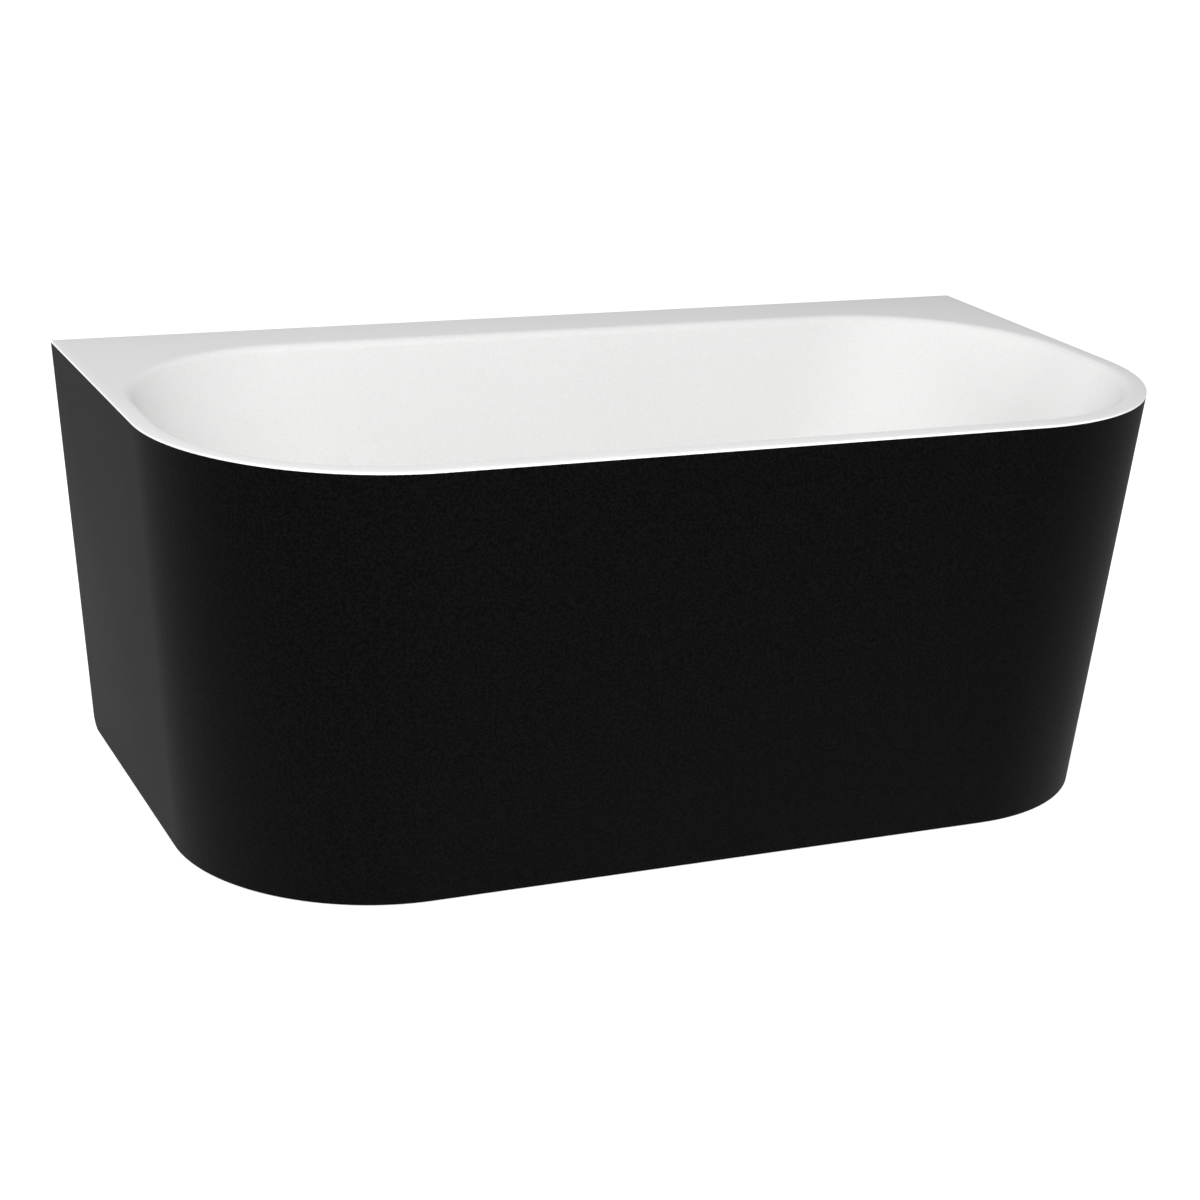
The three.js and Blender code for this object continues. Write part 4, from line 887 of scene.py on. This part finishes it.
def make_pad(place):
    node = f"foot_pad_{place}"
    low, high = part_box(node)
    centre = (low + high) / 2
    top = PAD_HEIGHT / MM
    profile = [
        (0, 0), (PAD_RADIUS - 1.5, 0), (PAD_RADIUS, 1.5), (PAD_RADIUS, PAD_EDGE_HEIGHT), PAD_SHOULDER,
        (PAD_HUB_RADIUS + 0.5, PAD_HUB_FOOT), (PAD_HUB_RADIUS, top), (PAD_SOCKET_RADIUS, top),
        (PAD_SOCKET_RADIUS, PAD_SOCKET_FLOOR), (0, PAD_SOCKET_FLOOR),
    ]
    return turned(f"rubber_pad_{place}", node, profile, (centre.x, centre.y, 0), rounding=0.5 * MM)


def make_feet():
    for place in PLACES:
        make_pad(place)
        make_stud(place)
        make_nut(place, "lock")
        make_nut(place, "weld")


# ---- Waste ----


def waste_piece(name, node, profile, rounding=0.3 * MM):
    """Turns a profile whose heights are measured down from the top of the CAD node"""
    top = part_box(node)[1].z / MM
    heights = [(radius, top - drop) for radius, drop in profile]
    return turned(name, node, heights, (0, BASIN_Y, 0), rounding=rounding)


def make_plug_spring():
    """A coil that stands on the fixed cup under the plug's stem, made at one length; the real coil
    shortens as the stem comes down on it
    """
    low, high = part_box("waste_plug_spring")
    height = high.z - low.z - 2 * SPRING_WIRE_RADIUS
    bm = bmesh.new()
    bmesh.ops.create_circle(bm, segments=SPRING_WIRE_SIDES, radius=SPRING_WIRE_RADIUS)
    bmesh.ops.rotate(bm, matrix=Matrix.Rotation(pi / 2, 3, "X"), verts=bm.verts)
    start = Vector((SPRING_RADIUS, 0, low.z + SPRING_WIRE_RADIUS))
    bmesh.ops.translate(bm, vec=start, verts=bm.verts)
    steps = SPRING_TURNS * SPRING_TURN_STEPS
    bmesh.ops.spin(
        bm, geom=bm.verts[:] + bm.edges[:], cent=(0, 0, 0), axis=(0, 0, 1),
        angle=2 * pi * SPRING_TURNS, steps=steps, dvec=(0, 0, height / steps),
    )
    bmesh.ops.holes_fill(bm, edges=[edge for edge in bm.edges if edge.is_boundary])
    bmesh.ops.translate(bm, vec=(0, BASIN_Y, 0), verts=bm.verts)
    coil = stand_in(bm, "plug_spring", "waste_plug_spring", 60, rides=False)
    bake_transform(coil)


def washer(bore, radius, thickness):
    """The profile of a flat ring, from its top down"""
    return [(bore, 0), (bore, thickness), (radius, thickness), (radius, 0)]


def make_waste_rim():
    neck_end = FLANGE_THICKNESS + NECK_LENGTH
    waste_piece("waste_rim", "waste_flange", [
        (FLANGE_MOUTH_RADIUS, 0), (NECK_BORE, FLANGE_THICKNESS), (NECK_BORE, neck_end),
        (NECK_RADIUS, neck_end), (NECK_RADIUS, FLANGE_THICKNESS), (FLANGE_RADIUS, FLANGE_THICKNESS),
        (FLANGE_RADIUS, 1.2), (FLANGE_RADIUS - 0.6, 0.4), (FLANGE_RADIUS - 1.5, 0),
    ], 0.15 * MM)


def make_plug_cap():
    """A flat underside with a rounded edge, and a shallow dome on top"""
    dome = [
        (PLUG_RADIUS * sin(angle), PLUG_DOME * (1 - cos(angle)))
        for angle in steps_between(0, pi / 2, DOME_STEPS)[::-1]
    ]
    underside = [(0, PLUG_THICKNESS), (PLUG_RADIUS - 1.4, PLUG_THICKNESS), (PLUG_RADIUS - 0.4, 3.4)]
    waste_piece("plug_cap", "waste_plug", underside + dome, 0)


def make_waste():
    make_waste_rim()
    gasket = washer(WASTE_SEAL_BORE, GASKET_RADIUS, GASKET_THICKNESS)
    waste_piece("waste_rim_gasket", "waste_gasket", gasket)
    lower_seal = washer(WASTE_SEAL_BORE, LOWER_SEAL_RADIUS, LOWER_SEAL_THICKNESS)
    waste_piece("waste_lower_seal", "waste_body_seal", lower_seal, 0.8 * MM)
    make_plug_cap()
    waste_piece("plug_seal", "waste_plug_seal", [
        (PLUG_SEAL_BORE, 0), (PLUG_SEAL_BORE, PLUG_SEAL_THICKNESS),
        (NECK_BORE, PLUG_SEAL_THICKNESS), (PLUG_SEAL_RADIUS, 0),
    ], 0.4 * MM)
    make_plug_spring()


# ---- Overflow ----


def overflow_piece(name, node, profile, rounding=0.3 * MM):
    """Turns a profile about the overflow's axis, from the surface of the bath's front wall"""
    return turned(name, node, profile, turn=overflow_place(), rounding=rounding)


def make_overflow_cover():
    """A round cover with a full edge, held off the wall by its post"""
    overflow_piece("overflow_cap", "overflow_cover", [
        (COVER_BORE, OVERFLOW_GAP), (COVER_POST_RADIUS, OVERFLOW_GAP), (COVER_POST_RADIUS, COVER_BACK),
        (COVER_RADIUS - 1.4, COVER_BACK), (COVER_RADIUS - 0.4, COVER_BACK + 0.5),
        (COVER_RADIUS, COVER_BACK + 1.5), (COVER_RADIUS - 0.4, COVER_FRONT - 0.5),
        (COVER_RADIUS - 1.6, COVER_FRONT), (COVER_BORE, COVER_FRONT),
    ], 0.25 * MM)


def make_overflow_screw():
    """A screw with a domed head and a small round recess in it"""
    overflow_piece("overflow_screw_head", "overflow_screw", [
        (0, SCREW_END), (SCREW_RADIUS, SCREW_END), (SCREW_RADIUS, SCREW_SEAT),
        (SCREW_HEAD_RADIUS, SCREW_SEAT), (SCREW_HEAD_RADIUS - 0.1, SCREW_SEAT + 0.8),
        (SCREW_HEAD_RADIUS - 0.9, SCREW_HEAD_TOP - 0.4), (SCREW_RECESS_RADIUS + 0.2, SCREW_HEAD_TOP),
        (SCREW_RECESS_RADIUS, SCREW_RECESS_FLOOR), (0, SCREW_RECESS_FLOOR),
    ], 0.15 * MM)


def make_overflow_ring():
    """The threaded neck through the wall, with its flange against the acrylic"""
    overflow_piece("overflow_screw_ring", "overflow_ring", [
        (RING_BORE, RING_FRONT), (RING_BORE, RING_NECK_END), (RING_NECK_RADIUS, RING_NECK_END),
        (RING_NECK_RADIUS, OVERFLOW_GAP), (RING_RADIUS, OVERFLOW_GAP), (RING_RADIUS, RING_FRONT / 2),
        (RING_RADIUS - 3, RING_FRONT),
    ], 0.4 * MM)


def make_overflow():
    make_overflow_cover()
    make_overflow_screw()
    make_overflow_ring()
    back = BACK_SEAL_FRONT - BACK_SEAL_THICKNESS
    overflow_piece("overflow_back_seal", "overflow_seal", [
        (BACK_SEAL_BORE, back), (BACK_SEAL_RADIUS, back),
        (BACK_SEAL_RADIUS, BACK_SEAL_FRONT), (BACK_SEAL_BORE, BACK_SEAL_FRONT),
    ], 0.6 * MM)


def below_overflow(distance):
    """A point on the hose's line, that far down from the overflow along the wall"""
    return overflow_place() @ Vector((0, distance, HOSE_AXIS_DEPTH))


def before_waste(distance):
    """A point on the hose's line, that far forward of the waste"""
    return Vector((0, BASIN_Y - distance, WASTE_SPIGOT_Z))


def hose_route():
    """Points along the middle of the hose, from the overflow to the waste"""
    height = RIM_Z - OVERFLOW_DROP - WASTE_SPIGOT_Z
    bend_start = below_overflow(HOSE_BEND_START)
    bend_end = before_waste(HOSE_BEND_END)
    way_forward = bend_end.y - bend_start.y
    bend = interpolate_bezier(
        bend_start, below_overflow(HOSE_BEND_START + HOSE_UPPER_PULL * height),
        before_waste(HOSE_BEND_END + HOSE_LOWER_PULL * way_forward), bend_end, HOSE_BEND_POINTS,
    )
    return [below_overflow(HOSE_START), *bend, before_waste(HOSE_END)]


def hose_stations():
    """Points and directions a step apart along the hose's route"""
    points = hose_route()
    stations = []
    carried = 0.0
    for first, second in zip(points, points[1:]):
        length = (second - first).length
        direction = (second - first).normalized()
        while carried <= length:
            stations.append((first + carried * direction, direction))
            carried += HOSE_STEP
        carried -= length
    return stations


def make_hose():
    """A corrugated hose with plain ends under its nuts"""
    bm = bmesh.new()
    loops = []
    stations = hose_stations()
    for count, (point, direction) in enumerate(stations):
        plain = min(count, len(stations) - 1 - count) * HOSE_STEP < HOSE_PLAIN_END
        radius = HOSE_RADIUS - (0 if plain or count % 4 < 2 else HOSE_GROOVE)
        tilt = Matrix.Rotation(atan2(-direction.y, direction.z), 4, "X")
        verts = bmesh.ops.create_circle(
            bm, segments=HOSE_SIDES, radius=radius, matrix=Matrix.Translation(point) @ tilt
        )["verts"]
        loops.append(list({edge for vert in verts for edge in vert.link_edges}))
    skin(bm, loops)
    wall = {"thickness": HOSE_WALL, "offset": -1.0}
    return stand_in(bm, "corrugated_hose", "overflow_hose", 80, [("SOLIDIFY", wall)])


# ---- Pieces whose frame shape is kept ----


def finish_kept_nodes():
    """Gives every node that still shows its finish, with its edges softened"""
    for name, node in frame["nodes"].items():
        if node.hide_render:
            continue
        slot = SLOT_OF[name]
        for holder in node.material_slots:
            holder.material = finish_for(slot)
        weld = node.modifiers.new("Weld", "WELD")
        weld.merge_threshold = FLAT_TOLERANCE
        kind, settings = bevelled(KEPT_EDGE_ROUNDING)
        rounding = node.modifiers.new("Bevel", kind)
        for key, setting in settings.items():
            setattr(rounding, key, setting)


# ---- Stage ----


def make_floor():
    bm = bmesh.new()
    bmesh.ops.create_grid(bm, x_segments=FLOOR_SQUARES, y_segments=FLOOR_SQUARES, size=FLOOR_HALF_SIZE)
    mesh = bpy.data.meshes.new("floor")
    bm.to_mesh(mesh)
    bm.free()
    floor = bpy.data.objects.new("floor", mesh)
    bpy.context.scene.collection.objects.link(floor)
    floor.data.materials.append(floor_finish(bpy.context.scene.bath_colours.floor))


def make_light(name, place, size, power):
    """A soft square light that faces the middle of the bath"""
    lamp = bpy.data.lights.new(name, "AREA")
    lamp.size = size
    lamp.energy = power
    light = bpy.data.objects.new(name, lamp)
    light.location = place
    aim = Vector((0, 0, RIM_Z / 2)) - Vector(place)
    light.rotation_euler = aim.to_track_quat("-Z", "Y").to_euler()
    bpy.context.scene.collection.objects.link(light)


def make_world():
    """Plain white light all round, stronger from the left than from the right"""
    world = bpy.data.worlds.new("studio")
    graph = Graph(world)
    direction = graph.node("ShaderNodeTexCoord", output="Generated")
    rightward = graph.node("ShaderNodeSeparateXYZ", None, {"Vector": direction}, "X")
    background = graph.tree.nodes["Background"]
    graph.connect(background.inputs["Color"], (1.0, 1.0, 1.0, 1.0))
    graph.connect(background.inputs["Strength"], WORLD_STRENGTH - WORLD_SLOPE * rightward)
    bpy.context.scene.world = world


def make_camera():
    """Looks down on the bath from its front left"""
    back = Vector((
        sin(CAMERA_AZIMUTH) * cos(CAMERA_ELEVATION),
        -cos(CAMERA_AZIMUTH) * cos(CAMERA_ELEVATION),
        sin(CAMERA_ELEVATION),
    ))
    turn = back.to_track_quat("Z", "Y").to_matrix().to_4x4()
    lens = bpy.data.cameras.new("camera")
    lens.sensor_width = CAMERA_SENSOR
    lens.lens = CAMERA_LENS
    camera = bpy.data.objects.new("camera", lens)
    place = Matrix.Translation(CAMERA_TARGET + CAMERA_DISTANCE * back)
    camera.matrix_world = place @ turn @ Matrix.Rotation(CAMERA_ROLL, 4, "Z")
    bpy.context.scene.collection.objects.link(camera)
    bpy.context.scene.camera = camera


def make_stage():
    make_floor()
    make_world()
    for light in LIGHTS:
        make_light(*light)
    make_camera()
    bpy.context.scene.view_settings.view_transform = "Standard"


# ---- Operators, panel and running ----


class BATHTUB_OT_bath(bpy.types.Operator):
    """Makes the white bath"""

    bl_idname = "bathtub.bath"
    bl_label = "Bath"

    def execute(self, context):
        make_bath()
        return {"FINISHED"}


class BATHTUB_OT_backing(bpy.types.Operator):
    """Makes the glass fibre under the bath"""

    bl_idname = "bathtub.backing"
    bl_label = "Glass Fibre"

    def execute(self, context):
        make_backing()
        return {"FINISHED"}


class BATHTUB_OT_skirt(bpy.types.Operator):
    """Makes the black skirt"""

    bl_idname = "bathtub.skirt"
    bl_label = "Skirt"

    def execute(self, context):
        make_skirt()
        return {"FINISHED"}


class BATHTUB_OT_feet(bpy.types.Operator):
    """Makes the four levelling feet with their nuts"""

    bl_idname = "bathtub.feet"
    bl_label = "Feet"

    def execute(self, context):
        make_feet()
        return {"FINISHED"}


class BATHTUB_OT_waste(bpy.types.Operator):
    """Makes the waste, its plug and its seals"""

    bl_idname = "bathtub.waste"
    bl_label = "Waste"

    def execute(self, context):
        make_waste()
        return {"FINISHED"}


class BATHTUB_OT_overflow(bpy.types.Operator):
    """Makes the overflow and its hose"""

    bl_idname = "bathtub.overflow"
    bl_label = "Overflow"

    def execute(self, context):
        make_overflow()
        make_hose()
        return {"FINISHED"}


class BATHTUB_OT_frame(bpy.types.Operator):
    """Gives the frame, the boards and the small fittings their finishes"""

    bl_idname = "bathtub.frame"
    bl_label = "Frame and Fittings"

    def execute(self, context):
        finish_kept_nodes()
        return {"FINISHED"}


class BATHTUB_OT_stage(bpy.types.Operator):
    """Makes the floor, the lights and the camera"""

    bl_idname = "bathtub.stage"
    bl_label = "Stage"

    def execute(self, context):
        make_stage()
        return {"FINISHED"}


OPERATORS = (
    BATHTUB_OT_bath, BATHTUB_OT_backing, BATHTUB_OT_skirt, BATHTUB_OT_feet, BATHTUB_OT_waste,
    BATHTUB_OT_overflow, BATHTUB_OT_frame, BATHTUB_OT_stage,
)


class BATHTUB_PT_panel(bpy.types.Panel):
    """Lists the bathtub's pieces and its sizes"""

    bl_idname = "BATHTUB_PT_panel"
    bl_label = "Bathtub"
    bl_space_type = "VIEW_3D"
    bl_region_type = "UI"
    bl_category = "Bathtub"

    def draw(self, context):
        for group in (context.scene.bath_sizes, context.scene.bath_colours):
            for name in group.__annotations__:
                self.layout.prop(group, name)
        for operator in OPERATORS:
            self.layout.operator(operator.bl_idname)


CLASSES = (BathSizes, BathColours, *OPERATORS, BATHTUB_PT_panel)


def register():
    for one in CLASSES:
        bpy.utils.register_class(one)
    bpy.types.Scene.bath_sizes = PointerProperty(type=BathSizes)
    bpy.types.Scene.bath_colours = PointerProperty(type=BathColours)


def unregister():
    del bpy.types.Scene.bath_colours
    del bpy.types.Scene.bath_sizes
    for one in reversed(CLASSES):
        bpy.utils.unregister_class(one)


def main():
    register()
    bpy.ops.bathtub.bath()
    bpy.ops.bathtub.backing()
    bpy.ops.bathtub.skirt()
    bpy.ops.bathtub.feet()
    bpy.ops.bathtub.waste()
    bpy.ops.bathtub.overflow()
    bpy.ops.bathtub.frame()
    bpy.ops.bathtub.stage()


if __name__ == "__main__":
    main()
